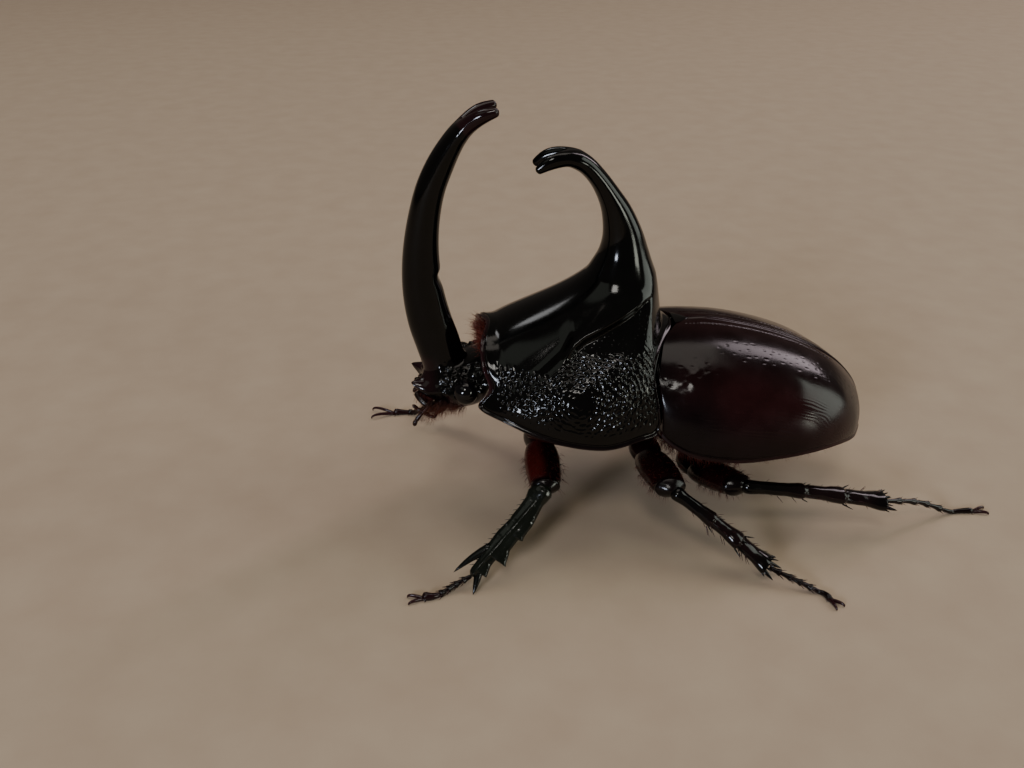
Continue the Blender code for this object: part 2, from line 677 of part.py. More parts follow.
def tibia(name, leg, kind, surface):
    """The shin. A fore shin is a flat blade with teeth, the others widen to a spurred end."""
    knee = np.array(leg["knee"])
    ankle = np.array(leg["ankle"])
    start, end, thick = SHIN[kind]
    way = unit(ankle - knee)
    path = limb_path(knee + way * KNEE_GAP[1], ankle, SHIN_RINGS)
    t = np.linspace(0, 1, SHIN_RINGS)
    rounded = np.where(t == 0, 0.6, 1.0)
    wide = (start + (end - start) * t**1.3) * rounded
    deep = np.interp(t, (0, 0.15, 1), (start, thick, thick)) * rounded
    if leg["blade"] is not None:
        return fore_tibia(name, path, wide, deep, way, unit(leg["blade"]), leg["tip_lean"], surface)
    body = tube(name, path, wide, deep, (0, 0, 1), surface, 8)
    side = unit(np.cross(way, (0, 0, 1)))
    top = np.cross(side, way)
    for sign, length in END_SPURS:
        corner = path[-1] - way * 0.6 + side * sign * end * 0.55
        spike(body, corner, way + side * sign * 0.4, length, SPUR_RADIUS)
    for ring, sign in SIDE_SPINES:
        spike(body, path[ring], way * 1.1 + top * 0.9 + side * sign * 0.7, SIDE_SPINE_LENGTH, SPINE_RADIUS)
    return body


def fore_tibia(name, path, wide, deep, way, edge, tip_lean, surface):
    """The digging shin, with its teeth along the outer edge and one long spur inside."""
    body = tube(name, path, wide * 0.85, deep, np.cross(way, edge), surface)
    for ring, length, lean in FORE_TEETH:
        start = path[ring] - way * 0.5 + edge * TOOTH_OUT
        spike(body, start, edge + way * (tip_lean if lean is None else lean), length, TOOTH_RADIUS)
    ring, length = FORE_SPUR
    spike(body, path[ring] - edge * 0.7, way - edge * 0.28, length, SPUR_RADIUS)
    return body


def spike(target, start, way, length, radius):
    """A tooth or spur, joined to the shin that it grows from."""
    way = unit(way)
    path = [start, start + way * length * 0.55, start + way * length]
    size = (radius, radius * 0.75, POINT_RADIUS)
    up = (0, 0, 1) if abs(way[2]) < 0.9 else (1, 0, 0)
    guide = f"guide_spike_{len(bpy.data.objects)}"
    tool = tube(guide, path, size, size, up, target.data.materials[0], 5)
    boolean(target, tool, "UNION")


def claw(end, way, length, sign):
    """Loops of one claw, which starts at the end of a foot."""
    side = np.cross(way, (0, 0, 1))
    around = fork_angles(0.0 if sign > 0 else math.pi, 3)
    loops = []
    for reach, spread, lift, thick in CLAW:
        centre = end + (way * reach + side * sign * spread) * length + (0, 0, lift * length)
        loops.append(flat_on_floor(oval(centre, (0, 0, thick), side * thick, around)))
    return loops, None


def tarsus(name, leg, kind, surface):
    """The foot: joints in a row and a pair of claws. Its last joints lie flat on the floor."""
    path = through(leg["toes"], FOOT_JOINTS * 3 + 1)
    radius = np.choose(np.arange(len(path)) % 3, FOOT_RADII)
    radius *= FORE_FOOT_SCALE if kind == "fore" else 1.0
    loops = [flat_on_floor(loop) for loop in tube_rings(path, radius, radius, (0, 0, 1), 6)]
    skin = Skin()
    first = skin.ring(loops[0])
    skin.close(first)
    last = skin.grow(first, loops[1:])
    way = path[-1] - path[-2]
    way = unit((way[0], way[1], 0))
    crotch = path[-1] + way * 0.12 + (0, 0, radius[-1] * 0.3)
    skin.fork(last, crotch, [claw(path[-1], way, leg["claw"], sign) for sign in (1, -1)])
    return skin.finish(name, surface)


def legs(breast, chest, surface, wine):
    for place, leg in LEGS.items():
        kind = place.split("_")[0]
        side = -1 if place.endswith("left") else 1
        hip = np.array(leg["hip"])
        centre = hip - (0, side * HIP_REACH, 0)
        ball(f"coxa_{place}", centre, COXA[kind], surface, 6, 10)
        hollow = ball(f"guide_hollow_{place}", centre, np.array(COXA[kind]) + SEAM, surface, 6, 10)
        boolean(breast if kind == "fore" else chest, hollow, "DIFFERENCE")
        femur(f"femur_{place}", leg, kind, wine)
        tibia(f"tibia_{place}", leg, kind, surface)
        tarsus(f"tarsus_{place}", leg, kind, surface)


def centre_over_origin():
    """Hangs every piece on one empty, which puts the middle of the beetle's box over the origin."""
    anchor = bpy.data.objects.new("beetle", None)
    bpy.context.collection.objects.link(anchor)
    bpy.context.view_layer.update()
    graph = bpy.context.evaluated_depsgraph_get()
    pieces = [item for item in bpy.data.objects if item.type == "MESH"]
    corners = [
        corner[:]
        for piece in pieces if not piece.hide_render
        for corner in piece.evaluated_get(graph).bound_box
    ]
    low, high = np.min(corners, axis=0), np.max(corners, axis=0)
    for piece in pieces:
        piece.parent = anchor
    anchor.location = (-(low[0] + high[0]) / 2, -(low[1] + high[1]) / 2, -low[2])


def main():
    clear_scene()
    black = material("black_chitin", CHITIN, 0.22)
    wine = material("wine_chitin", WINE_CHITIN, 0.25)
    brown = material("brown_chitin", BROWN_CHITIN, 0.35)
    eye = material("eye", EYE_BLACK, 0.1)
    horn("thorax_horn", THORAX_HORN, THORAX_PRONG, THORAX_CROTCH, black)
    horn("head_horn", HEAD_HORN, HEAD_PRONG, HEAD_CROTCH, black)
    pronotum(black)
    breast = prosternum(wine)
    eyes(head(black), eye)
    mouth(brown)
    for side in ("left", "right"):
        elytron(side, wine)
    scutellum(black)
    chest = trunk("metathorax", METATHORAX, 6, wine)
    trunk("abdomen", ABDOMEN, 6, brown)
    trunk("pygidium", PYGIDIUM, 4, brown)
    legs(breast, chest, black, wine)
    centre_over_origin()


main()
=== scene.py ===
# %% [markdown]
# # A male rhinoceros beetle, life size
# The imported solids are the frame. Each shell plate, horn and leg below is a finer mesh that takes
# the place of a plain solid, grown from the same named rows, so that it lies where the solid lies.
# Lengths are millimetres until a mesh is made. The beetle faces -X, its left side is -Y, the floor is
# at zero height, and the middle of its body is the plane of y = 0. The frame puts the part elsewhere,
# so the middle of its two eyes tells how far the rows have to be carried.

# %% The frame and the shared place of every piece
import math

import bmesh
import bpy
import numpy as np
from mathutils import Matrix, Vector
from mathutils.kdtree import KDTree


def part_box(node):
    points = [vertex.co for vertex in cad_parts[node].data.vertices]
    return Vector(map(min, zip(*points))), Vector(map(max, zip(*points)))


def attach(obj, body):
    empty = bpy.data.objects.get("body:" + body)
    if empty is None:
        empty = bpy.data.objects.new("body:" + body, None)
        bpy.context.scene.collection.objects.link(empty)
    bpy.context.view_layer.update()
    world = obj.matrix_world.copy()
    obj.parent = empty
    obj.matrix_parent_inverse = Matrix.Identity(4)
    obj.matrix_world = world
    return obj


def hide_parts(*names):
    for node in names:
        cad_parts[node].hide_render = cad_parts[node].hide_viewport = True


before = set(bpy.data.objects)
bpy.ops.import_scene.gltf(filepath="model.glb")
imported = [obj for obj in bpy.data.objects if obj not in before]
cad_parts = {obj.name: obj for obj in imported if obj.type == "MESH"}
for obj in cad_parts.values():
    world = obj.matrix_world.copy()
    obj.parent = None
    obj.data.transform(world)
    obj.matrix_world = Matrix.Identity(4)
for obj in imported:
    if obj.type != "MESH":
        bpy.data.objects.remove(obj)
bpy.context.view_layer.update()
MM = 0.001
SIDES = (("left", -1), ("right", 1))
EYE = np.array((-5.2, 4.6, 15.7))
eye_boxes = np.array([[list(c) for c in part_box(f"eye_{side}")] for side, _ in SIDES])
HOME = eye_boxes.mean(axis=(0, 1)) - EYE * (1, 0, 1) * MM
print("home", HOME.round(5), "nodes", len(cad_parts))

# %% [markdown]
# ## Camera
# The camera comes first, so that every look at the beetle is the same look. It stands off the left
# side, a little towards the head and higher than the horns, and looks down by 28 degrees. A short
# lens this near gives the depth of a close look. A tracking constraint could aim it, but its turn is
# worked out once from the line of sight, so that nothing can move it later.

# %% Camera
LENS = 35.0
SENSOR = 36.0
NEAREST = 0.001
TURN = math.radians(5.0)
FALL = math.radians(28.0)
DISTANCE = 107.92
AIM = np.array((0.0, 0.0, 14.0))
sight = np.array((math.sin(TURN) * math.cos(FALL), math.cos(TURN) * math.cos(FALL), -math.sin(FALL)))
lens = bpy.data.cameras.new("camera")
lens.lens = LENS
lens.sensor_width = SENSOR
lens.clip_start = NEAREST
camera = bpy.data.objects.new("camera", lens)
camera.location = (AIM - sight * DISTANCE) * MM + HOME
camera.rotation_euler = Vector(sight).to_track_quat("-Z", "Y").to_euler()
bpy.context.scene.collection.objects.link(camera)
bpy.context.scene.camera = camera
print("camera", [round(v, 4) for v in camera.location])

# %% [markdown]
# ## Curves through rows
# Each plate is named by a few rows of sizes. A smooth curve read through the rows gives as many
# rings as a fine mesh needs, and reading it at even distances keeps the faces nearly square.
# Blender's own curve objects could do it, but points in arrays can be pitted and measured before a
# mesh is made of them.

# %% Reading curves
def through(rows, stops, before=None, after=None):
    """Rows of values at the given stops, where stop 2.5 lies half way from row 2 to row 3."""
    rows = np.array(rows, float)
    before = 2 * rows[0] - rows[1] if before is None else before
    after = 2 * rows[-1] - rows[-2] if after is None else after
    padded = np.vstack([before, rows, after])
    low = np.clip(np.asarray(stops).astype(int), 0, len(rows) - 2)
    t = (stops - low)[:, None]
    a, b, c, d = (padded[low + k] for k in range(4))
    bend = (2 * a - 5 * b + 4 * c - d) * t**2
    twist = (3 * b - a - 3 * c + d) * t**3
    return 0.5 * (2 * b + (c - a) * t + bend + twist)


def steady(rows, count, before=None, after=None):
    """As through, at count stops that share out the rows alike."""
    return through(rows, np.linspace(0, len(rows) - 1, count), before, after)


def even(rows, count, before=None, after=None, density=None):
    """As through, at count stops spaced evenly along the curve, or closer where density is high."""
    fine = np.linspace(0, len(rows) - 1, 60 * len(rows))
    places = through(rows, fine, before, after)[:, :3]
    step = np.linalg.norm(np.diff(places, axis=0), axis=1)
    if density is not None:
        step *= density(0.5 * (places[1:] + places[:-1]))
    run = np.concatenate([[0.0], np.cumsum(step)])
    stops = np.interp(np.linspace(0, run[-1], count), run, fine)
    return through(rows, stops, before, after)


def run_along(points, axis=0):
    """How far each point lies from the first, measured along its line of points."""
    step = np.linalg.norm(np.diff(points, axis=axis), axis=-1)
    return np.concatenate([np.zeros_like(step.take([0], axis)), np.cumsum(step, axis)], axis)


print("a straight row of 2 read at 3 stops:", steady([(0.0,), (1.0,)], 3)[:, 0])

# %% Small measures
def unit(vectors):
    """The same directions, each of length 1."""
    vectors = np.asarray(vectors, float)
    return vectors / np.maximum(np.linalg.norm(vectors, axis=-1, keepdims=True), 1e-9)


def gone_from(points, spot):
    """Distance of each point from one spot."""
    return np.linalg.norm(points - np.array(spot, float), axis=-1)


def ramp(values, low, high):
    """0 below low, 1 above high, and smooth between."""
    t = np.clip((np.asarray(values, float) - low) / (high - low), 0, 1)
    return t * t * (3 - 2 * t)


def hump(distance, width):
    """1 at no distance, falling to nothing a few widths away."""
    return np.exp(-(distance / width) ** 2)


def squared(values, power):
    """A sine or cosine with fuller shoulders, for a power below 1, or flatter ones above it."""
    return np.sign(values) * np.abs(values) ** power


def blunt(from_start, to_end, least):
    """1 along a limb, and the round of a dome at its two ends."""
    return np.sqrt(np.clip(np.minimum(from_start, to_end), least, 1))


print("ramp half way:", float(ramp(0.5, 0, 1)), "hump one width away:", round(float(hump(1.0, 1.0)), 3))

# %% [markdown]
# ## Relief
# The shell of a beetle is never smooth all over. Pits are dimples of one size scattered with a
# least distance between them, and drift is a soft noise made of crossed waves, which bends rows of
# wrinkles and breaks them up. A bump texture could draw both, but these move real points, so that
# the outline and the mesh have them too.

# %% Soft noise
def drift(points, size, seed, waves=14):
    """Soft noise of about -1 to 1, whose features are about size across."""
    rng = np.random.default_rng(seed)
    ways = unit(rng.normal(size=(waves, 3))) * rng.uniform(0.6, 1.5, (waves, 1))
    ways = ways * 2 * math.pi / (2 * size)
    phases = rng.uniform(0, 2 * math.pi, waves)
    total = np.zeros(points.shape[:-1])
    for way, phase in zip(ways, phases):
        total += np.sin(points @ way + phase)
    return total / math.sqrt(waves / 2) * 0.7


print("drift spans", np.ptp(drift(np.random.default_rng(0).uniform(0, 9, (500, 3)), 1.0, 1)).round(2))

# %% Scattered places
def scatter(points, weight, gap, seed):
    """Indices of points at least gap apart, drawn where weight is high."""
    rng = np.random.default_rng(seed)
    flat = points.reshape(-1, 3)
    order = rng.permutation(len(flat))
    order = order[rng.random(len(flat)) < np.clip(weight.reshape(-1)[order], 0, 1)]
    about = (-1, 0, 1)
    cells, kept = {}, []
    for index in order:
        point = flat[index]
        i, j, k = (point // gap).astype(int)
        cubes = (cells.get((i + a, j + b, k + c), ()) for a in about for b in about for c in about)
        if all(np.sum((flat[other] - point) ** 2) >= gap * gap for cube in cubes for other in cube):
            cells.setdefault((i, j, k), []).append(index)
            kept.append(index)
    return np.array(kept, int)


sparse = scatter(np.random.default_rng(0).uniform(0, 9, (500, 3)), np.ones(500), 2.0, 1)
print("of 500 loose points", len(sparse), "lie 2 apart")

# %% Pits
PIT_WALL = 1.5                    # power of the wall's curve: round below, sharp at the brim
RIM_AT, RIM_WIDE = 1.2, 0.22      # the raised rim, in radii of the pit


def pits(points, weight, gap, radius, seed, centres=None, vary=0.35, lie=None, stretch=1.0, rim=0.18):
    """Depth of dimples, 1 at the middle of each and 0 outside, with a faint raised rim. lie gives the
    direction that long ones lie in, and stretch how long they are."""
    flat = points.reshape(-1, 3)
    if centres is None:
        centres = flat[scatter(points, weight, gap, seed)]
    depth = np.zeros(len(flat))
    active = np.flatnonzero(weight.reshape(-1) > 0.02)
    if len(centres) and len(active):
        sizes = radius * (1 + vary * np.random.default_rng(seed).uniform(-1, 1, len(centres)))
        lies = np.tile((1.0, 0.0, 0.0), (len(centres), 1)) if lie is None else unit(lie(centres))
        tree = KDTree(len(centres))
        for k, centre in enumerate(centres):
            tree.insert(centre, k)
        tree.balance()
        nearest = np.array([tree.find(point)[1] for point in flat[active]])
        off = flat[active] - centres[nearest]
        along = (off * lies[nearest]).sum(axis=1)
        across = np.maximum((off**2).sum(axis=1) - along**2, 0)
        t = np.sqrt((along / stretch) ** 2 + across) / sizes[nearest]
        depth[active] = np.clip(1 - t * t, 0, None) ** PIT_WALL - rim * hump(t - RIM_AT, RIM_WIDE)
    return depth.reshape(points.shape[:-1])


def even_pits(grid, share, radius, seed, gap=0.6):
    """Pits scattered alike over a whole grid."""
    return pits(grid, np.full(grid.shape[:2], share), gap, radius, seed)


print("pits and their rims ready")

# %% Evening out and raising a sheet
def mellow(sheet, start, full, times):
    """Evens a sheet along its rings, more so further from its edge, so that no column of it shows."""
    step = np.linalg.norm(np.diff(sheet, axis=0), axis=2).mean(axis=1)
    weight = 0.25 * ramp(np.concatenate([[0.0], np.cumsum(step)]), start, full)[:, None, None]
    for _ in range(times):
        sheet = sheet + weight * (np.roll(sheet, 1, 1) + np.roll(sheet, -1, 1) - 2 * sheet)
    return sheet


def outward(grid, closed=True):
    """The outward direction at each point of a grid of rings."""
    down = np.gradient(grid, axis=0)
    if closed:
        across = np.roll(grid, -1, 1) - np.roll(grid, 1, 1)
    else:
        across = np.gradient(grid, axis=1)
    normal = unit(np.cross(across, down))
    away = grid - grid.mean(axis=(0, 1))
    return normal * (1 if (normal * away).sum() > 0 else -1)


def raised(grid, height, closed=True):
    """The grid with each point moved outwards by its height, or inwards where that is negative."""
    return grid + outward(grid, closed) * height[..., None]


print("sheets can be evened and raised")

# %% [markdown]
# ## Making a piece
# A Shell gathers grids of points and their faces in one mesh. Each point also carries a tint from
# 0 to 1, which the finishes read to pass from black cuticle to red-brown. Modifiers could round and
# join the parts, but a mesh that is whole when it is made exports as it stands.

# %% The Shell
class Shell:
    """Points, faces and tints on their way to one mesh."""

    def __init__(self):
        self.points, self.faces, self.tints, self.count = [], [], [], 0

    def add(self, points, faces, tint=0.0):
        """Adds points, and faces that count from the first of them."""
        points = np.asarray(points, float).reshape(-1, 3)
        self.points.append(points)
        self.faces.extend((np.asarray(face) + self.count).tolist() for face in faces)
        self.tints.append(np.broadcast_to(np.asarray(tint, float).reshape(-1), (len(points),)))
        self.count += len(points)
        return self

    def grid(self, grid, closed=True, tint=0.0, start=False, end=False):
        """Joins rings with quads. start and end close the first and last ring with a middle point."""
        rows, columns = grid.shape[:2]
        index = np.arange(rows * columns).reshape(rows, columns)
        wide = np.hstack([index, index[:, :1]]) if closed else index
        corners = (wide[:-1, :-1], wide[:-1, 1:], wide[1:, 1:], wide[1:, :-1])
        points = [grid.reshape(-1, 3)]
        faces = list(np.stack(corners, -1).reshape(-1, 4))
        tints = [np.broadcast_to(np.asarray(tint, float), (rows, columns)).reshape(-1)]
        total = rows * columns
        for wanted, ring in ((start, 0), (end, -1)):
            if wanted:
                points.append(grid[ring].mean(axis=0)[None])
                tints.append(tints[0].reshape(rows, columns)[ring][:1])
                faces.extend(np.array((a, b, total)) for a, b in zip(wide[ring][:-1], wide[ring][1:]))
                total += 1
        return self.add(np.vstack(points), faces, np.concatenate(tints))

    def finish(self, name, surface, slot, replaces=(), weld=0.0, melt=None):
        """Makes the piece. weld joins points nearer than that, and melt rounds the points near a spot."""
        mesh = bpy.data.meshes.new(name)
        points = np.vstack(self.points)
        points[:, 2] = np.maximum(points[:, 2], 0.0)
        mesh.from_pydata((points * MM + HOME).tolist(), [], self.faces)
        mark = mesh.attributes.new("tint", "FLOAT", "POINT")
        mark.data.foreach_set("value", np.concatenate(self.tints).astype(np.float32))
        bm = bmesh.new()
        bm.from_mesh(mesh)
        if weld:
            bmesh.ops.remove_doubles(bm, verts=bm.verts, dist=weld * MM)
        if melt:
            melt_near(bm, *melt)
        bmesh.ops.recalc_face_normals(bm, faces=bm.faces)
        bm.to_mesh(mesh)
        bm.free()
        mesh.shade_smooth()
        mesh.materials.append(surface)
        piece = bpy.data.objects.new(name, mesh)
        bpy.context.scene.collection.objects.link(piece)
        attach(piece, "root")
        if replaces:
            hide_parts(*replaces)
        print(f"{name}: {len(mesh.vertices)} points, {len(mesh.polygons)} faces")
        return piece


print("a Shell joins grids in one mesh")

# %% Welds and closed pieces
def melt_near(bm, centre, reach, times):
    """Smooths the points within reach of a centre, where two parts of a mesh have been welded."""
    centre = Vector(np.array(centre) * MM + HOME)
    near = [v for v in bm.verts if (v.co - centre).length < reach * MM]
    for _ in range(times):
        bmesh.ops.smooth_vert(bm, verts=near, factor=0.5, use_axis_x=True, use_axis_y=True, use_axis_z=True)


def closed_piece(name, grid, surface, slot, replaces=(), tint=0.0):
    """A piece made of one grid whose two ends are closed."""
    return Shell().grid(grid, start=True, end=True, tint=tint).finish(name, surface, slot, replaces)


print("pieces are made in millimetres, and carried to", HOME.round(4))

# %% [markdown]
# ## Finishes
# Beetle shell is cuticle: layers of chitin hardened and darkened by the animal, under a thin layer of
# its own wax. It is a clear material of refractive index about 1.5, black from below its surface and
# glossy at its surface. A second clear layer could be put over each finish, but one surface with a
# dark base, a low specular level and a faint unevenness already breaks up the edge of each reflection.

# %% Colour and node helpers
CUTICLE_IOR = 1.5
COLOUR_A, COLOUR_B, COLOUR_OUT = 6, 7, 2    # the Mix node's sockets for colours, which share names


def linear(code, alpha=1.0):
    """An sRGB hex value as linear RGB."""
    parts = [int(code[k:k + 2], 16) / 255 for k in (1, 3, 5)]
    return (*(v / 12.92 if v <= 0.04045 else ((v + 0.055) / 1.055) ** 2.4 for v in parts), alpha)


def node(tree, kind, sockets=None, **settings):
    """Adds a node. A socket is given a value, or another node's output to link from."""
    made = tree.nodes.new("ShaderNode" + kind)
    for key, value in settings.items():
        setattr(made, key, value)
    for key, value in (sockets or {}).items():
        if isinstance(value, bpy.types.NodeSocket):
            tree.links.new(value, made.inputs[key])
        else:
            made.inputs[key].default_value = value
    return made


def finish_named(name):
    """A new material, its node tree and its surface shader."""
    surface = bpy.data.materials.new(name)
    surface.use_nodes = True
    tree = surface.node_tree
    return surface, tree, tree.nodes["Principled BSDF"]


def per_metre(size_mm):
    """Scale of a pattern whose features are size_mm across."""
    return 1.0 / (size_mm * MM)


print("mid grey in linear light:", round(linear("#808080")[0], 3))

# %% [markdown]
# ## Cuticle
# The same cuticle is black and mirror-smooth on the horns, wine-dark and finely scratched on the wing
# cases, and red-brown where it is thin, at the mouth and on the belly. One function makes all of
# them: a cloud of a few millimetres shades the colour and the gloss, a finer grain moves the
# reflections a little, and the tint of the mesh leads from the dark colour to the warm one. Painted
# images would tie a finish to one mesh, while these are worked out from place alone.

# %% Cuticle
CLOUD_MM = 2.4
CLOUD_LOW, CLOUD_HIGH = 0.3, 0.7
SHADE_LEAST, SHADE_MOST = 0.75, 1.25
ROUGH_LEAST, ROUGH_MOST = 0.75, 1.3
GRAIN_DEPTH = 0.25                # depth of the grain as a share of its width
DULL_BELOW, GLOSS_ABOVE = 13.2, 16.8    # heights between which the scratches of a flank fade


def cuticle(name, dark, warm, roughness, grain_mm, grain, gloss, dull=0.0):
    """Hardened cuticle. dark and warm are its colours at tint 0 and tint 1. dull is the roughness that
    its low flanks have more than its back, where fine scratches take the gloss away."""
    surface, tree, shader = finish_named(name)
    place = node(tree, "TexCoord").outputs["Object"]
    tint = node(tree, "Attribute", attribute_name="tint").outputs["Fac"]
    cloud = node(tree, "TexNoise", {"Vector": place, "Scale": per_metre(CLOUD_MM), "Detail": 3.0})
    fine = node(tree, "TexNoise", {"Vector": place, "Scale": per_metre(grain_mm), "Detail": 4.0})
    colours = {0: tint, COLOUR_A: linear(dark), COLOUR_B: linear(warm)}
    mixed = node(tree, "Mix", colours, data_type="RGBA")
    spread = {"Value": cloud.outputs["Fac"], "From Min": CLOUD_LOW, "From Max": CLOUD_HIGH}
    shade = node(tree, "MapRange", {**spread, "To Min": SHADE_LEAST, "To Max": SHADE_MOST})
    shaded = {0: mixed.outputs[COLOUR_OUT], "Scale": shade.outputs[0]}
    colour = node(tree, "VectorMath", shaded, operation="SCALE")
    between = {"To Min": roughness * ROUGH_LEAST, "To Max": roughness * ROUGH_MOST}
    rough = node(tree, "MapRange", {**spread, **between})
    if dull:
        height = node(tree, "SeparateXYZ", {"Vector": place}).outputs["Z"]
        fall = {"From Min": GLOSS_ABOVE * MM, "From Max": DULL_BELOW * MM, "To Min": 0.0, "To Max": dull}
        low = node(tree, "MapRange", {"Value": height, **fall})
        rough = node(tree, "Math", {0: rough.outputs[0], 1: low.outputs[0]}, operation="ADD")
    relief = {"Height": fine.outputs["Fac"], "Strength": grain, "Distance": grain_mm * MM * GRAIN_DEPTH}
    bump = node(tree, "Bump", relief)
    tree.links.new(colour.outputs[0], shader.inputs["Base Color"])
    tree.links.new(rough.outputs[0], shader.inputs["Roughness"])
    tree.links.new(bump.outputs[0], shader.inputs["Normal"])
    shader.inputs["IOR"].default_value = CUTICLE_IOR
    shader.inputs["Specular IOR Level"].default_value = gloss
    return surface


print("cuticle is shaded by clouds", CLOUD_MM, "mm wide")

# %% The five cuticles
# Horns, shield and head: black, with reflections almost as sharp as in lacquer.
BLACK = cuticle("black waxed cuticle", "#040404", "#30161a",
                roughness=0.10, grain_mm=0.10, grain=0.10, gloss=0.24)
# Wing cases: black with a wine tone where light grazes them, and soft reflections low on the flanks.
WING = cuticle("dark wine cuticle of the wing cases", "#080304", "#3c1819",
               roughness=0.15, grain_mm=0.12, grain=0.12, gloss=0.20, dull=0.14)
# Thighs, hips and breast: wine-brown, redder where the shell is thin, and a little grainy. Their low
# tint on the hips, the mid and hind thighs and the front of the hind breast is painted shade.
WINE = cuticle("wine-brown cuticle of thighs and breast", "#070304", "#3a0f0c",
               roughness=0.17, grain_mm=0.10, grain=0.35, gloss=0.24)
# Mouthparts and belly: thin brown shell with broad, weak reflections.
BROWN = cuticle("red-brown cuticle of mouth and belly", "#0a0504", "#34130d",
                roughness=0.24, grain_mm=0.10, grain=0.40, gloss=0.28)
# Digging shins: black, with a greenish cast that is a painted reflection.
SHIN_FINISH = cuticle("greenish-black cuticle of the shins", "#060806", "#1a1e17",
                      roughness=0.15, grain_mm=0.09, grain=0.30, gloss=0.30)
print("cuticles", [m.name for m in bpy.data.materials if "cuticle" in m.name])

# %% [markdown]
# ## Eye and hair
# An insect's eye is a dome of some thousand hexagonal lenses. Modelled one by one they would be too
# many points for what they show, so a cell pattern in the bump gives the eye its fine grain. Hair
# is the same chitin as the shell drawn out so thin that light passes, so its tips are redder than
# its roots, and it has hardly any gloss.

# %% Eye and hair finishes
LENS_MM = 0.06                    # twice the real width of a lens, so that the grain shows
LENS_DOME = 0.01


def cornea():
    """The clear, polished skin of the eye over black."""
    surface, tree, shader = finish_named("polished black cornea")
    place = node(tree, "TexCoord").outputs["Object"]
    lenses = node(tree, "TexVoronoi", {"Vector": place, "Scale": per_metre(LENS_MM)})
    relief = {"Height": lenses.outputs["Distance"], "Strength": 0.12, "Distance": LENS_DOME * MM}
    dome = node(tree, "Bump", relief, invert=True)
    tree.links.new(dome.outputs[0], shader.inputs["Normal"])
    shader.inputs["Base Color"].default_value = linear("#070608")
    shader.inputs["Roughness"].default_value = 0.08
    shader.inputs["IOR"].default_value = CUTICLE_IOR
    shader.inputs["Specular IOR Level"].default_value = 0.35
    return surface


def bristle(name, root, tip):
    """Hair of chitin. tint is 0 at its root and 1 at its tip."""
    surface, tree, shader = finish_named(name)
    tint = node(tree, "Attribute", attribute_name="tint").outputs["Fac"]
    colours = {0: tint, COLOUR_A: linear(root), COLOUR_B: linear(tip)}
    mixed = node(tree, "Mix", colours, data_type="RGBA")
    tree.links.new(mixed.outputs[COLOUR_OUT], shader.inputs["Base Color"])
    shader.inputs["Roughness"].default_value = 0.5
    shader.inputs["IOR"].default_value = CUTICLE_IOR
    shader.inputs["Specular IOR Level"].default_value = 0.25
    return surface


EYE_FINISH = cornea()
RED_HAIR = bristle("red-brown hair", "#220906", "#5e2012")
GOLD_HAIR = bristle("golden-brown hair of the mouth", "#1a0805", "#5c2a14")
print("finishes", [m.name for m in bpy.data.materials])

# %% [markdown]
# ## Growing a horned plate
# The thorax shield and the head are alike: a horn whose foot spreads out, like the brim of a witch's
# hat, to an edge that runs all round. Each point of the edge belongs to an angle round the horn, and
# a Bezier curve leads from one to the other, so shield and horn are one skin with no seam. Sculpting
# could give the same form, but this way the whole skin follows from a dozen points of its edge.

# %% Edge and brim
# A row of an edge holds a point's x, y and z, its angle round the horn, the x, y and z by which its
# curve sets out, and how far that curve swings outwards and downwards before it meets the horn.
EDGE_MIRRORED = [1, 5]
EDGE_TURN = 3
EDGE_FLARE = 7


def mirror_edge(rows, whole_turn):
    """Rows of an edge on the other side of the body."""
    rows = np.array(rows, float)
    rows[..., EDGE_MIRRORED] *= -1
    rows[..., EDGE_TURN] = whole_turn - rows[..., EDGE_TURN]
    return rows


def whole_edge(rows, half, density=None):
    """The edge all round, from rows of its right half."""
    right = even(rows, half + 1, mirror_edge(rows[1], 0), mirror_edge(rows[-2], 360), density)
    return np.vstack([right, mirror_edge(right[half - 1:0:-1], 360)])


def square_to(way):
    """The direction forward of a way that lies in the middle plane, at a right angle to it."""
    return unit((-way[2], 0.0, way[0]))


def ring_round(centre, fore, turn, depth, width):
    """An oval ring. depth lies along fore and width across the body."""
    return centre + np.cos(turn) * fore * depth + np.sin(turn) * np.array((0.0, width, 0.0))


def brim(edge, rows, steps):
    """Rings from the edge in to the foot of the horn."""
    (x, z, depth, width), (x_next, z_next, _, _) = rows[:2]
    up = unit((x_next - x, 0.0, z_next - z))
    fore = square_to(up)
    turn = np.radians(edge[:, EDGE_TURN])[:, None]
    inner = ring_round(np.array((x, 0.0, z)), fore, turn, depth, width)
    away = ring_round(0.0, fore, turn, 1.0, 1.0)
    inner_hand = inner + away * edge[:, EDGE_FLARE, None] - up * edge[:, EDGE_FLARE + 1, None]
    outer = edge[:, :3]
    outer_hand = outer + edge[:, EDGE_TURN + 1:EDGE_FLARE]
    s = np.linspace(0, 1, steps)[:, None, None]
    t = 1 - s
    return s**3 * inner + 3 * s * s * t * inner_hand + 3 * s * t * t * outer_hand + t**3 * outer


print("a row of an edge has", EDGE_FLARE + 2, "values")

# %% [markdown]
# ## Horn and fork
# Both horns are oval rods that bend in the middle plane and fork at the tip. The last ring of the
# rod is cut in two halves, a saddle of points closes each half, and each prong grows from its own
# half to a rounded tip. Two separate cones pushed into the rod would leave a crease at the fork.

# %% Horn and fork
PRONG_LEAD = 0.6                  # how far the prongs keep the heading of the horn
CROTCH_REACH = 0.6                # how far the saddle between them stands up
PRONG_TIP = ((0.35, 0.86), (0.6, 0.6), (0.74, 0.25))    # rings of the tip: how far out, and their size
FLOW_RINGS = 7.0


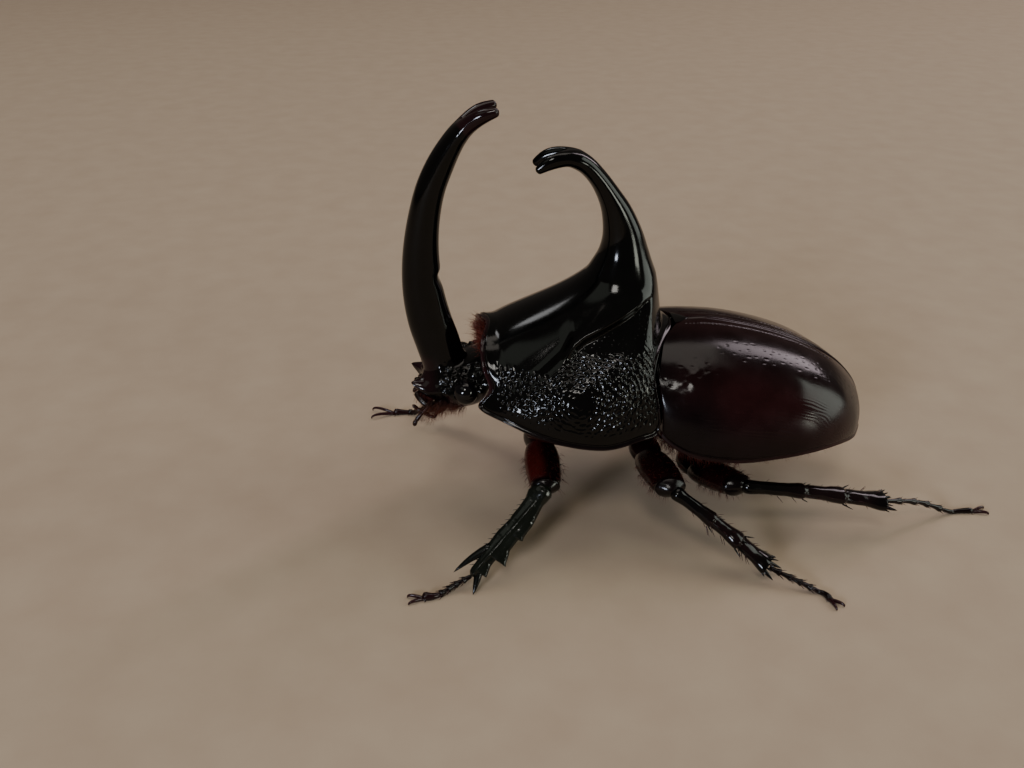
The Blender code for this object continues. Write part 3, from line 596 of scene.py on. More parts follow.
def horn_rings(rows, prong_rows, turn, steps):
    """Rings up the horn, to the fork."""
    first = prong_rows[0]
    upright = [(x, 0.0, z, depth, width) for x, z, depth, width in rows]
    fine = steady(upright, steps, None, (first[0], 0.0, *first[1:4]))
    ways = unit(np.gradient(fine[:, :3], axis=0))
    rings = []
    for (x, _, z, depth, width), way in zip(fine, ways):
        rings.append(ring_round(np.array((x, 0.0, z)), square_to(way), turn[:, None], depth, width))
    return np.array(rings)


def prong_grid(last, before_last, prong_rows, side, inner, steps):
    """Rings of one prong, from its half of the horn's last ring to a rounded tip."""
    half = len(last) // 2
    pick = np.arange(half + 1) if side > 0 else np.append(np.arange(half, len(last)), 0)
    outer = last[pick]
    s = np.linspace(0, 1, inner + 2)[1:-1, None]
    heading = unit((last - before_last).mean(axis=0))
    saddle = outer[-1] * (1 - s) + outer[0] * s + heading * CROTCH_REACH * np.sin(math.pi * s)
    start = np.vstack([outer, saddle])
    path = np.array([(x, side * y, z) for x, z, _, _, y in prong_rows])
    base = 0.0 if side > 0 else math.pi
    around = base + np.concatenate([np.linspace(0, math.pi, half + 1), math.pi + math.pi * s[:, 0]])
    keys = [start]
    for place, way, (_, _, deep, wide, _) in zip(path, unit(np.gradient(path, axis=0)), prong_rows):
        fore = square_to(way)
        across = np.cross(fore, way)
        across *= np.sign(across[1])
        keys.append(place + np.cos(around)[:, None] * fore * deep + np.sin(around)[:, None] * across * wide)
    end = unit(path[-1] - path[-2])
    deep = prong_rows[-1][2]
    last_key = keys[-1]
    for out, size in PRONG_TIP:
        keys.append(path[-1] + end * out * deep + (last_key - path[-1]) * size)
    flat = np.array([key.reshape(-1) for key in keys])
    return steady(flat, steps, (start - heading * PRONG_LEAD).reshape(-1)).reshape(steps, -1, 3)


def soften(grid, around, times):
    """Smooths a grid lengthwise near one ring, so that brim and horn flow together."""
    weight = hump(np.arange(len(grid)) - around, FLOW_RINGS)[:, None, None]
    for _ in range(times):
        middle = grid.copy()
        middle[1:-1] = 0.5 * (grid[:-2] + grid[2:])
        grid = grid + (middle - grid) * weight * 0.8
    return grid


print("a prong has", len(PRONG_TIP), "rings more at its tip than rows")

# %% [markdown]
# ## Thorax shield and its horn
# The front slope and the horn are polished. A sharp-edged shoulder runs back and up from the side
# of the slope to the horn. Below it the sides are rough: coarse pits towards the front, which
# sparkle, and curved wrinkles further back, bent round a calm spot. A bead runs round the whole edge.

# %% Thorax sizes
THORAX_EDGE = [
    (-2.7, 0.0, 21.3, 0, 1.0, 0.0, 2.2, 3.2, 3.2),
    (-3.5, 3.6, 20.6, 24, 1.1, 0.4, 2.3, 3.2, 3.4),
    (-3.5, 5.7, 19.0, 40, 1.6, 1.4, 2.0, 3.0, 3.6),
    (-2.9, 6.6, 16.9, 52, 2.4, 2.2, 1.6, 2.8, 3.8),
    (-4.0, 7.0, 15.2, 60, 2.6, 2.4, 2.0, 2.6, 4.0),
    (-1.5, 9.0, 14.4, 70, 1.6, 1.8, 4.0, 2.4, 4.0),
    (3.0, 10.8, 12.9, 82, 0.6, 1.2, 6.0, 2.2, 4.0),
    (8.1, 11.4, 12.1, 98, 0.0, 0.9, 7.5, 2.0, 4.0),
    (12.0, 10.8, 12.6, 114, -0.2, 0.8, 7.0, 1.8, 3.6),
    (13.9, 10.0, 13.0, 126, -0.8, 0.8, 5.5, 1.5, 3.2),
    (14.0, 9.6, 15.4, 136, -1.8, 0.6, 3.5, 1.2, 3.0),
    (13.6, 8.1, 18.5, 147, -1.4, 0.2, 2.6, 1.0, 2.6),
    (14.9, 4.8, 20.2, 162, -0.9, 0.2, 2.4, 0.8, 2.4),
    (16.9, 0.0, 20.8, 180, -0.3, 0.0, 2.4, 0.6, 2.4),
]
# Up the horn: x and height of its middle, then half its depth and half its width.
THORAX_HORN = [
    (11.3, 27.1, 3.60, 3.30),
    (11.35, 28.9, 2.75, 2.55),
    (11.15, 30.8, 2.15, 2.05),
    (10.55, 32.9, 1.65, 1.75),
    (9.70, 34.7, 1.25, 1.55),
    (8.55, 36.5, 1.02, 1.45),
    (7.25, 37.9, 0.98, 1.45),
    (5.80, 38.7, 0.98, 1.55),
]
# Along a prong: as for the horn, then how far it lies from the middle plane.
THORAX_PRONG = [(4.6, 38.8, 0.80, 0.72, 1.05), (3.4, 38.5, 0.72, 0.66, 1.25), (2.5, 37.9, 0.45, 0.45, 1.35)]
# The ridge of the shoulder: x and height.
SHOULDER = np.array([
    (-4.0, 20.4), (-2.6, 20.1), (-1.4, 19.7), (1.0, 19.4), (3.1, 19.65), (4.5, 20.5), (5.8, 21.65),
    (6.7, 22.25), (8.6, 23.05), (10.0, 23.65), (11.7, 24.4), (13.0, 25.1), (18.0, 26.5),
])
SHOULDER_LEAN = 0.87
CALM = (5.6, 16.9)
print("shield from", THORAX_EDGE[0][0], "to", THORAX_EDGE[-1][0], "and its horn to", THORAX_HORN[-1][1])

# %% Wrinkles of the thorax
WRINKLE_GAP = 0.46
WRINKLE_HEIGHT = 0.055
LONG_PIT_DEPTH = 0.105


def round_calm(centres):
    """The way that a wrinkle lies: round the calm spot."""
    return np.stack([CALM[1] - centres[:, 2], np.zeros(len(centres)), centres[:, 0] - CALM[0]], -1)


def wrinkles(sheet, where):
    """Broken lines round the calm spot, with long pits between them that fade out towards it."""
    reach = np.hypot((sheet[..., 0] - CALM[0]) * 0.7, sheet[..., 2] - CALM[1])
    calm = ramp(reach + 0.5 * drift(sheet, 0.9, 9) + 0.35 * drift(sheet, 0.4, 10), 0.4, 2.5)
    phase = 2 * math.pi * reach / WRINKLE_GAP + 2.4 * drift(sheet, 1.5, 3) + 1.3 * drift(sheet, 0.6, 4)
    broken = ramp(drift(sheet, 0.55, 5), -0.9, 0.7)
    wave = (0.5 + 0.5 * np.sin(phase)) ** 1.4 * (0.35 + 0.65 * broken) - 0.3
    lined = where * calm
    long_pits = pits(sheet, 0.06 + lined, WRINKLE_GAP, 0.185, seed=13, lie=round_calm, stretch=3.0)
    return WRINKLE_HEIGHT * lined * wave - long_pits * (0.25 + 0.75 * lined) * where * LONG_PIT_DEPTH


print("wrinkles every", WRINKLE_GAP, "round", CALM)

# %% Thorax relief
SPARKLE_GAP, SPARKLE_RADIUS, SPARKLE_DEPTH = 0.50, 0.215, 0.13
RIDGE_HEIGHT = 0.30
UNDERCUT = 0.50
BEAD_HEIGHT, BEAD_GROOVE = 0.14, 0.12
BEAD_AT, GROOVE_AT = 0.18, 0.50   # millimetres in from the edge
FOOT_RINGS = (34, 8)              # rings before the horn between which the plate turns into it


def thorax_relief(sheet, brim_steps):
    """How far each point moves out, and its tint."""
    x, y, z = sheet[..., 0], np.abs(sheet[..., 1]), sheet[..., 2]
    run = run_along(sheet)
    rings = np.arange(len(sheet))
    horn_foot = ramp(rings, brim_steps - FOOT_RINGS[0], brim_steps - FOOT_RINGS[1])[:, None]
    below = (np.interp(x, *SHOULDER.T) - z) * SHOULDER_LEAN
    # Where each kind of surface lies: beside the back, below the shoulder, its front and its rear.
    side = ramp(y, 3.2, 5.0) * (1 - horn_foot)
    rough = ramp(below, 0.05, 0.45) * side * ramp(run, 1.0, 2.1)
    front = rough * (1 - ramp(x, 1.6, 4.4)) * ramp(x, -2.7, -1.6)
    rear = rough * ramp(x, 1.8, 4.2)
    low = ramp(21.7 - z, 0.0, 1.0)
    out = wrinkles(sheet, rear * low)
    out -= pits(sheet, front, SPARKLE_GAP, SPARKLE_RADIUS, seed=11) * front * SPARKLE_DEPTH
    out += drift(sheet, 0.45, 6) * front * 0.022
    out -= pits(sheet, rear * (1 - low) * 0.3, gap=0.42, radius=0.10, seed=12) * rear * 0.02
    # The ridge of the shoulder with the hollow below it, then the bead with its groove.
    along = ramp(x, 4.2, 5.8) * (1 - ramp(x, 12.8, 14.6)) * side
    out += RIDGE_HEIGHT * ramp(-below, -0.14, 0.12) * (1 - ramp(-below, 0.2, 2.6)) * along
    out -= UNDERCUT * ramp(below, -0.06, 0.25) * (1 - ramp(below, 0.3, 3.4)) * along
    out += BEAD_HEIGHT * hump(run - BEAD_AT, 0.14) - BEAD_GROOVE * hump(run - GROOVE_AT, 0.14)
    front_edge = (1 - ramp(x, -2.2, -1.2)) * ramp(z, 15.0, 17.0)
    return out, 0.8 * hump(run, 0.36) * np.maximum(front_edge, 0.2)


print("sparkling pits every", SPARKLE_GAP, "and a ridge", RIDGE_HEIGHT, "high")

# %% Thorax mesh
THORAX_HALF = 340
THORAX_BRIM = 230
THORAX_HORN_RINGS = 84
THORAX_SADDLE = 90                # points of the saddle that closes each half of the horn
PRONG_RINGS = 40
WELD = 0.002
CORE_X, CORE_Z = (3.0, 11.0), 15.5    # where the skin turns to, inside the edge
SIDE_DENSITY = 2.2                # how many more points the edge has where the rough sides start
THORAX_FORK = ((4.2, 0.0, 38.6), 2.6, 40)    # centre and reach of the melting, and how often


def side_density(places):
    """How much closer the points of the edge lie."""
    return 1 + SIDE_DENSITY * ramp(np.abs(places[:, 1]), 5.5, 8.0)


thorax_edge = whole_edge(THORAX_EDGE, THORAX_HALF, side_density)
thorax_turn = np.radians(thorax_edge[:, EDGE_TURN])
plate = brim(thorax_edge, THORAX_HORN, THORAX_BRIM)
horn_part = horn_rings(THORAX_HORN, THORAX_PRONG, thorax_turn, THORAX_HORN_RINGS)
thorax_sheet = soften(np.concatenate([plate[:-1], horn_part]), THORAX_BRIM - 1, times=60)
thorax_sheet = mellow(thorax_sheet, start=0.6, full=3.5, times=260)
moved, tint = thorax_relief(thorax_sheet, THORAX_BRIM)
thorax_sheet = raised(thorax_sheet, moved)
rim = thorax_sheet[0]
core = np.column_stack([np.clip(rim[:, 0], *CORE_X), np.zeros(len(rim)), np.full(len(rim), CORE_Z)])
inwards = core - rim
lip = np.array([rim + inwards * 0.7, rim + inwards * 0.3, rim + unit(inwards) * 0.9,
                rim + unit(inwards) * 0.35 - (0, 0, 0.05)])
lip_tint = np.full(lip.shape[:2], 0.3)
thorax = Shell().grid(np.concatenate([lip, thorax_sheet]), tint=np.concatenate([lip_tint, tint]))
for _, sign in SIDES[::-1]:
    horn_end = thorax_sheet[-1], thorax_sheet[-3]
    prong = prong_grid(*horn_end, THORAX_PRONG, sign, THORAX_SADDLE, PRONG_RINGS)
    thorax.grid(mellow(prong, start=0.05, full=0.6, times=400), end=True)
thorax.finish("pronotum_and_horn", BLACK, "black_chitin", ("pronotum", "thorax_horn"),
              weld=WELD, melt=THORAX_FORK)

# %% [markdown]
# ## Head and its horn
# The head is short and sunk under the shield. Its front plate ends in two small upturned teeth with
# a hollow edge between them, a ridge runs in front of the eye, and the horn sweeps up and back to a
# fork, with one blunt tooth on its rear side. It grows in the same way as the shield, from an edge
# and a horn, and a cup of rings closes it from below, over the roots of the mouthparts.

# %% Head sizes
HEAD_HORN = [
    (-7.30, 17.3, 2.30, 2.15),
    (-7.85, 19.4, 2.35, 1.90),
    (-8.60, 22.0, 2.30, 1.80),
    (-9.10, 24.8, 2.15, 1.75),
    (-9.25, 27.6, 1.98, 1.70),
    (-9.12, 30.4, 1.78, 1.65),
    (-8.70, 33.2, 1.60, 1.60),
    (-8.00, 35.9, 1.48, 1.60),
    (-6.95, 38.3, 1.36, 1.60),
    (-5.80, 40.3, 1.15, 1.65),
    (-4.80, 41.6, 1.00, 1.70),
]
HEAD_PRONG = [(-3.8, 42.55, 0.82, 0.80, 1.05), (-2.75, 43.2, 0.72, 0.70, 1.4), (-1.7, 43.5, 0.5, 0.5, 1.6)]
HEAD_EDGE = [
    (-9.8, 0.0, 15.9, 0, 0.2, 0.0, 0.5, 0.4, 0.4),
    (-10.1, 1.3, 15.8, 22, 0.3, 0.0, 0.4, 0.4, 0.4),
    (-10.5, 2.3, 15.7, 40, 0.4, 0.0, 0.3, 0.5, 0.5),
    (-9.2, 3.2, 15.1, 58, 0.2, 0.1, 0.5, 0.6, 0.6),
    (-7.9, 3.9, 15.2, 76, 0.0, 0.2, 0.8, 0.7, 0.7),
    (-6.6, 4.9, 15.4, 92, 0.0, 0.2, 1.2, 0.9, 0.8),
    (-5.0, 5.2, 15.5, 110, 0.0, 0.2, 1.6, 1.0, 0.8),
    (-3.4, 5.0, 16.1, 128, -0.2, 0.2, 1.6, 1.0, 0.8),
    (-2.2, 4.3, 17.3, 144, -0.5, 0.3, 1.0, 1.0, 0.6),
    (-1.8, 2.4, 19.0, 162, -0.8, 0.1, 0.3, 1.0, 0.5),
    (-1.8, 0.0, 19.5, 180, -0.9, 0.0, 0.3, 1.0, 0.5),
]
CHIN = np.array((-5.4, 0.0, 12.8))
NECK = -1.9
# Rings of the cup below the head: how far each has gone inwards and down, on its way to the chin.
CUP = ((0.03, 0.12), (0.10, 0.35), (0.2, 0.55), (0.30, 0.72), (0.45, 0.85), (0.6, 0.95), (0.85, 1.0))
print("head from", HEAD_EDGE[0][0], "and its horn to", HEAD_HORN[-1][1])

# %% Head skin
HEAD_HALF = 150
HEAD_BRIM = 70
HEAD_HORN_RINGS = 170
head_edge = whole_edge(HEAD_EDGE, HEAD_HALF)
head_turn = np.radians(head_edge[:, EDGE_TURN])
face = brim(head_edge, HEAD_HORN, HEAD_BRIM)
horn_part = horn_rings(HEAD_HORN, HEAD_PRONG, head_turn, HEAD_HORN_RINGS)
head_sheet = soften(np.concatenate([face[:-1], horn_part]), HEAD_BRIM - 1, times=30)
head_sheet = mellow(head_sheet, start=0.8, full=2.5, times=60)
under = []
for inward, down in CUP:
    ring = head_sheet[0] + (CHIN - head_sheet[0]) * (inward, inward, down)
    ring[:, 0] = np.minimum(ring[:, 0], NECK)
    under.append(ring)
head_sheet = np.concatenate([np.array(under)[::-1], head_sheet])
print("head skin of", head_sheet.shape[0], "rings")

# %% Head relief
CHEEK_PITS = dict(gap=0.62, radius=0.32, vary=0.5, rim=0.05)
CHEEK_DEPTH = 0.17
EYE_RING, EYE_RING_HEIGHT = 1.62, 0.22
CANTHUS, CANTHUS_HEIGHT = (-7.1, 4.2, 15.9), 0.32    # the keel that runs into the front of the eye
SPECK_DEPTH = 0.04
REAR_TOOTH, REAR_TOOTH_HEIGHT = 27.0, 0.34           # the blunt tooth behind the horn


def head_relief(sheet):
    """How far each point moves out, and its tint."""
    x, y, z = sheet[..., 0], np.abs(sheet[..., 1]), sheet[..., 2]
    one_side = np.stack([x, y, z], -1)
    eye_gone = gone_from(one_side, EYE)
    on_face = (1 - ramp(z, 17.6, 18.8)) * ramp(z, 14.8, 15.7)
    cheek = on_face * ramp(y, 1.8, 2.8) * ramp(x, -8.6, -7.2)
    out = -pits(sheet, cheek, seed=21, **CHEEK_PITS) * cheek * CHEEK_DEPTH
    out += drift(sheet, 0.8, 22) * cheek * 0.13
    out += hump(eye_gone - EYE_RING, 0.24) * ramp(z, 15.6, 16.3) * EYE_RING_HEIGHT
    out += hump(gone_from(one_side, CANTHUS), 0.85) * CANTHUS_HEIGHT
    on_horn = ramp(z, 19.5, 20.5)
    specks = pits(sheet, on_horn * 0.02, gap=1.4, radius=0.09, seed=23)
    out -= np.clip(specks, 0, 1) * on_horn * SPECK_DEPTH
    tooth = np.hypot((z - REAR_TOOTH) / np.where(z > REAR_TOOTH, 0.45, 0.95), y)
    out += hump(tooth, 1.0) * REAR_TOOTH_HEIGHT * ramp(x, -8.4, -7.6) * (z > 20)
    # Red-brown at the front edge, below, round the eye and at the tip of the horn.
    tint = on_face * (1 - ramp(x, -9.2, -7.6)) * 0.3 + (1 - ramp(z, 13.4, 14.8)) * 0.5
    tint = np.maximum(tint, 0.5 * hump(eye_gone - 1.9, 0.3) * (1 - ramp(z, 14.8, 15.6)))
    return out, tint + ramp(z, 41.5, 43.2) * 0.08


moved, tint = head_relief(head_sheet)
head_sheet = raised(head_sheet, moved)
print("head relief from", round(float(moved.min()), 2), "to", round(float(moved.max()), 2))

# %% Head teeth and mesh
HEAD_SADDLE = 60
HEAD_FORK = ((-3.4, 0.0, 42.6), 2.7, 40)
TOOTH = (-10.4, 2.25, 15.7)
TOOTH_LIFT = np.array((-0.28, 0.05, 0.12))
HOLLOW_LIFT = (0.25, 0.0, -0.12)
for _, sign in SIDES[::-1]:
    lift = hump(gone_from(head_sheet, np.array(TOOTH) * (1, sign, 1)), 0.62)[..., None]
    head_sheet = head_sheet + lift * TOOTH_LIFT * (1, sign, 1)
x, y, z = (head_sheet[..., axis] for axis in range(3))
hollow = hump(y, 1.5) * hump(x + 9.9, 0.5) * hump(z - 15.8, 0.8)
head_sheet = head_sheet + hollow[..., None] * HOLLOW_LIFT
head = Shell().grid(head_sheet, tint=tint, start=True)
for _, sign in SIDES[::-1]:
    prong = prong_grid(head_sheet[-1], head_sheet[-3], HEAD_PRONG, sign, HEAD_SADDLE, PRONG_RINGS)
    head.grid(mellow(prong, start=0.05, full=0.6, times=150), end=True, tint=0.3)
head.finish("head_and_horn", BLACK, "black_chitin", ("head", "head_horn"), weld=WELD, melt=HEAD_FORK)

# %% [markdown]
# ## Eyes
# Each eye is a plain dome set in the side of the head, and stays a piece of its own, because its
# finish is its own. Blender has a ball ready made, but rings from pole to pole join up with the same
# few lines as every other piece here.

# %% Eyes
EYE_RADIUS = 1.3
POLE = 0.02


def ball_grid(centre, radii, rings, sides):
    """Rings of an ellipsoid, from just below its top to just above its bottom."""
    polar = np.linspace(POLE, math.pi - POLE, rings)[:, None]
    turn = np.linspace(0, 2 * math.pi, sides, endpoint=False)[None, :]
    flat_part = np.sin(polar)
    ball = np.stack([flat_part * np.cos(turn), flat_part * np.sin(turn), np.cos(polar) + 0 * turn], -1)
    return np.array(centre) + ball * np.array(radii)


for side, sign in SIDES:
    eyeball = ball_grid(EYE * (1, sign, 1), (EYE_RADIUS,) * 3, rings=40, sides=60)
    closed_piece(f"eyeball_{side}", eyeball, EYE_FINISH, "eye", (f"eye_{side}",))

# %% [markdown]
# ## Wing cases
# Each elytron is a stiff vault with a bead along the middle seam, a line of pits beside it, a swelling
# at the shoulder and another near the tip, and fine scattered pits. Its edge turns in below and has
# a paler bead of its own. The vault is made line by line from the seam to the edge, and a second one
# inside it gives the case its thickness. A solidify modifier would do that too, but the lines here
# also thin out towards the tip.

# %% Wing case sizes
# Along the case: x at the seam and at the edge, half width, height of the top and of the edge.
ELYTRON = [
    (17.5, 15.0, 9.9, 21.2, 13.4),
    (20.0, 18.1, 11.2, 21.2, 11.4),
    (23.0, 22.0, 11.8, 20.8, 10.9),
    (26.5, 26.0, 11.9, 19.9, 11.2),
    (30.0, 29.8, 11.4, 18.7, 11.5),
    (33.3, 33.0, 9.9, 17.1, 11.3),
    (36.0, 35.6, 7.6, 15.3, 10.6),
    (38.0, 37.4, 4.8, 13.1, 9.8),
    (39.0, 38.6, 2.5, 11.0, 9.1),
    (39.3, 39.2, 1.0, 9.5, 8.7),
]
SEAM = 0.2
SHELL_THICK = 0.8
ELYTRON_TUCK = 0.9
ELYTRON_ARC = 104
ELYTRON_FULLNESS = 0.95
SCUTELLUM_WIDE, SCUTELLUM_LONG = 1.3, 1.5
# The rear edge of the shield, under which the cases begin: distance from the seam, and x.
SHIELD_REAR = np.array([(0.0, 16.9), (2.4, 16.2), (4.8, 15.1), (8.1, 14.1), (9.6, 14.4), (11.0, 14.6)])


def elytron_grid(inset, along, across):
    """Lines from the seam over the top and round to the tucked edge, along the case."""
    rows = steady(ELYTRON, along)
    bend = np.radians(np.linspace(0, ELYTRON_ARC, across))
    cosine = squared(np.cos(bend), ELYTRON_FULLNESS)
    sine = np.sin(bend) ** ELYTRON_FULLNESS
    tuck = ELYTRON_TUCK / abs(math.cos(bend[-1]))
    grid = np.zeros((along, across, 3))
    for line, part, (x_seam, x_edge, wide, high, low) in zip(grid, np.linspace(0, 1, along), rows):
        wide = max(wide - inset, 0.35)
        high = max(high - inset, low + 0.25)
        line[:, 0] = x_seam + (x_edge - x_seam) * sine - inset * part**4
        line[:, 1] = SEAM / 4 + (wide - SEAM / 4) * sine
        line[:, 2] = low + np.where(cosine > 0, high - low, tuck) * cosine
        notch = np.maximum(0.0, 1 - line[:, 1] / SCUTELLUM_WIDE) * SCUTELLUM_LONG
        line[:, 0] += notch * max(0.0, 1 - part * 4)
        under = np.interp(line[:, 1], *SHIELD_REAR.T)
        beside = np.clip(line[:, 1] / 1.6 - 0.9, 0, 1)
        line[:, 0] += (under - line[:, 0]) * beside * max(0.0, 1 - part * 6) ** 2
    return grid


print("wing case", ELYTRON[-1][0] - ELYTRON[0][0], "long at the seam")

# %% Lines of the wing case
STRIA = 1.5
STRIA_SPAN = (18.3, 34.5)
STRIA_GAP, STRIA_RADIUS, STRIA_DEPTH = 0.42, 0.17, 0.07
STRIA_GROOVE = 0.025
SCRATCH_GAP, SCRATCH_HEIGHT = 0.40, 0.0085


def stria(grid):
    """The groove beside the seam, and the line of pits in it."""
    row_x = np.arange(*STRIA_SPAN, STRIA_GAP)
    rows = through(ELYTRON, np.interp(row_x, [row[0] for row in ELYTRON], range(len(ELYTRON))))
    line = []
    for at, (_, _, wide, high, low) in zip(row_x, rows):
        sine = min(STRIA / wide, 1.0)
        line.append((at, STRIA, low + (high - low) * math.sqrt(1 - sine * sine)))
    x, y = grid[..., 0], grid[..., 1]
    long = ramp(x, 18, 19) * (1 - ramp(x, 34, 35.5))
    near = hump(y - STRIA, 0.35) * long
    in_line = pits(grid, near, STRIA_GAP, STRIA_RADIUS, seed=0, centres=np.array(line))
    return STRIA_GROOVE * hump(y - STRIA, 0.12) * long + STRIA_DEPTH * in_line


def scratches(grid, seam):
    """Fine wavy lines along the flank, broken up here and there."""
    wave = np.sin(seam * 2 * math.pi / SCRATCH_GAP + 2.2 * drift(grid * (0.25, 1, 1), 0.9, 37))
    return SCRATCH_HEIGHT * wave * ramp(drift(grid * (0.4, 1, 1), 0.7, 38), -0.8, 0.6)


print("pits beside the seam:", len(np.arange(*STRIA_SPAN, STRIA_GAP)))

# %% Wing case relief
SHOULDER_KNOB, SHOULDER_HEIGHT = (17.6, 8.7, 17.5), 0.26
TIP_KNOB, TIP_HEIGHT = (33.6, 7.2, 14.6), 0.22
SPRINKLE_DEPTH = 0.024


def elytron_relief(grid):
    """How far each point moves out, and its tint."""
    x, z = grid[..., 0], grid[..., 2]
    seam = run_along(grid, 1)
    rest = seam[:, -1:] - seam
    # A bead and a groove along the seam, and a pair of them along the edge.
    out = 0.07 * hump(seam - 0.12, 0.16) - 0.06 * hump(seam - 0.5, 0.16)
    out += 0.10 * hump(rest - 0.14, 0.14) - 0.09 * hump(rest - 0.5, 0.15)
    shoulder = gone_from(grid, SHOULDER_KNOB)
    out += SHOULDER_HEIGHT * hump(shoulder, 1.8) + TIP_HEIGHT * hump(gone_from(grid, TIP_KNOB), 2.2)
    out += drift(grid, 0.55, 35) * hump(shoulder, 2.0) * 0.028 + drift(grid, 3.0, 36) * 0.02
    out -= stria(grid)
    away = ramp(seam, 0.6, 1.0) * ramp(rest, 0.5, 0.9)
    base = hump(shoulder, 2.6)
    sprinkle = away * (0.008 + 0.05 * base + 0.06 * hump(seam - 5.6, 1.1) * ramp(x, 20, 23))
    out -= pits(grid, sprinkle, gap=0.7, radius=0.18, seed=31, rim=0.06) * away * SPRINKLE_DEPTH
    flank = (1 - ramp(z, 15.4, 17.2)) * away * ramp(x, 16.0, 19.0) * (1 - ramp(x, 33.0, 36.5))
    out += scratches(grid, seam) * flank
    middle = ramp(x, 18, 22) * (1 - ramp(x, 34, 37))
    tint = 0.3 * hump(rest, 0.35) + 0.1 * base + 0.25 * hump(seam - 11.5, 3.5) * middle
    return out, tint + 0.16 * hump(seam - 1.0, 3.0)


print("swellings at", SHOULDER_KNOB, "and", TIP_KNOB)

# %% Wing case mesh
ALONG, ACROSS, INNER = 250, 330, 24
LOOP = ACROSS + INNER


def end_cap(case, ring):
    """Closes one end of a case, between its outer line of points and its inner one."""
    start = ring * LOOP
    steps = np.linspace(0, INNER - 1, ACROSS).astype(int)
    for k in range(ACROSS - 1):
        a, b = start + k, start + k + 1
        c, d = start + LOOP - 1 - steps[k + 1], start + LOOP - 1 - steps[k]
        case.faces.append([a, b, c] if c == d else [a, b, c, d])


outer = elytron_grid(0.0, ALONG, ACROSS)
moved, tint = elytron_relief(outer)
outer = raised(outer, moved, closed=False)
inner = elytron_grid(SHELL_THICK, ALONG, INNER)[:, ::-1]
loop = np.concatenate([outer, inner], axis=1)
tints = np.concatenate([tint, np.full(inner.shape[:2], 0.5)], axis=1)
for side, sign in SIDES:
    case = Shell().grid(loop * (1, sign, 1), tint=tints)
    for ring in (0, ALONG - 1):
        end_cap(case, ring)
    case.finish(f"wing_case_{side}", WING, "wine_chitin", (f"elytron_{side}",))

# %% [markdown]
# ## Legs
# Each leg has a hip, a thigh, a shin and a foot of five joints with two claws. A limb is a tube
# along a path, and teeth, spurs and bristles are tapered tubes that start inside it. Curves with a
# round bevel would make tubes too, but not flat ones that change their width freely on the way.

# %% Limb helpers
UPWARD = (0, 0, 1)


def tube_grid(path, wide, deep, up, sides):
    """Rings round a path. wide lies across it and deep towards up."""
    path = np.array(path, float)
    way = unit(np.gradient(path, axis=0))
    side = unit(np.cross(way, np.broadcast_to(np.array(up, float), way.shape)))
    top = np.cross(side, way)
    turn = np.linspace(0, 2 * math.pi, sides, endpoint=False)[None, :, None]
    wide = np.broadcast_to(np.asarray(wide, float).reshape(-1, 1, 1), (len(path), 1, 1))
    deep = np.broadcast_to(np.asarray(deep, float).reshape(-1, 1, 1), (len(path), 1, 1))
    return path[:, None] + np.cos(turn) * top[:, None] * deep + np.sin(turn) * side[:, None] * wide


def spine(shell, start, way, length, radius, sides=8, curl=(0, 0, 0), flat=1.0, tint=0.0, up=None):
    """A tooth, spur or bristle: a tapered tube that bends by curl towards its end."""
    t = np.linspace(0, 1, 10)[:, None]
    way = unit(way)
    path = np.array(start) + way * length * t + np.array(curl, float) * length * t**2
    size = radius * (1 - t[:, 0] ** 1.6) ** 0.75 + 0.012
    if up is None:
        up = UPWARD if abs(way[2]) < 0.9 else (1, 0, 0)
    shell.grid(tube_grid(path, size, size * flat, up, sides), start=True, end=True, tint=tint)


def axes_of(way):
    """The directions to the side of a way and upwards from it."""
    side = unit(np.cross(way, UPWARD))
    return side, np.cross(side, way)


print("limbs are tubes, and spines are tubes that taper")

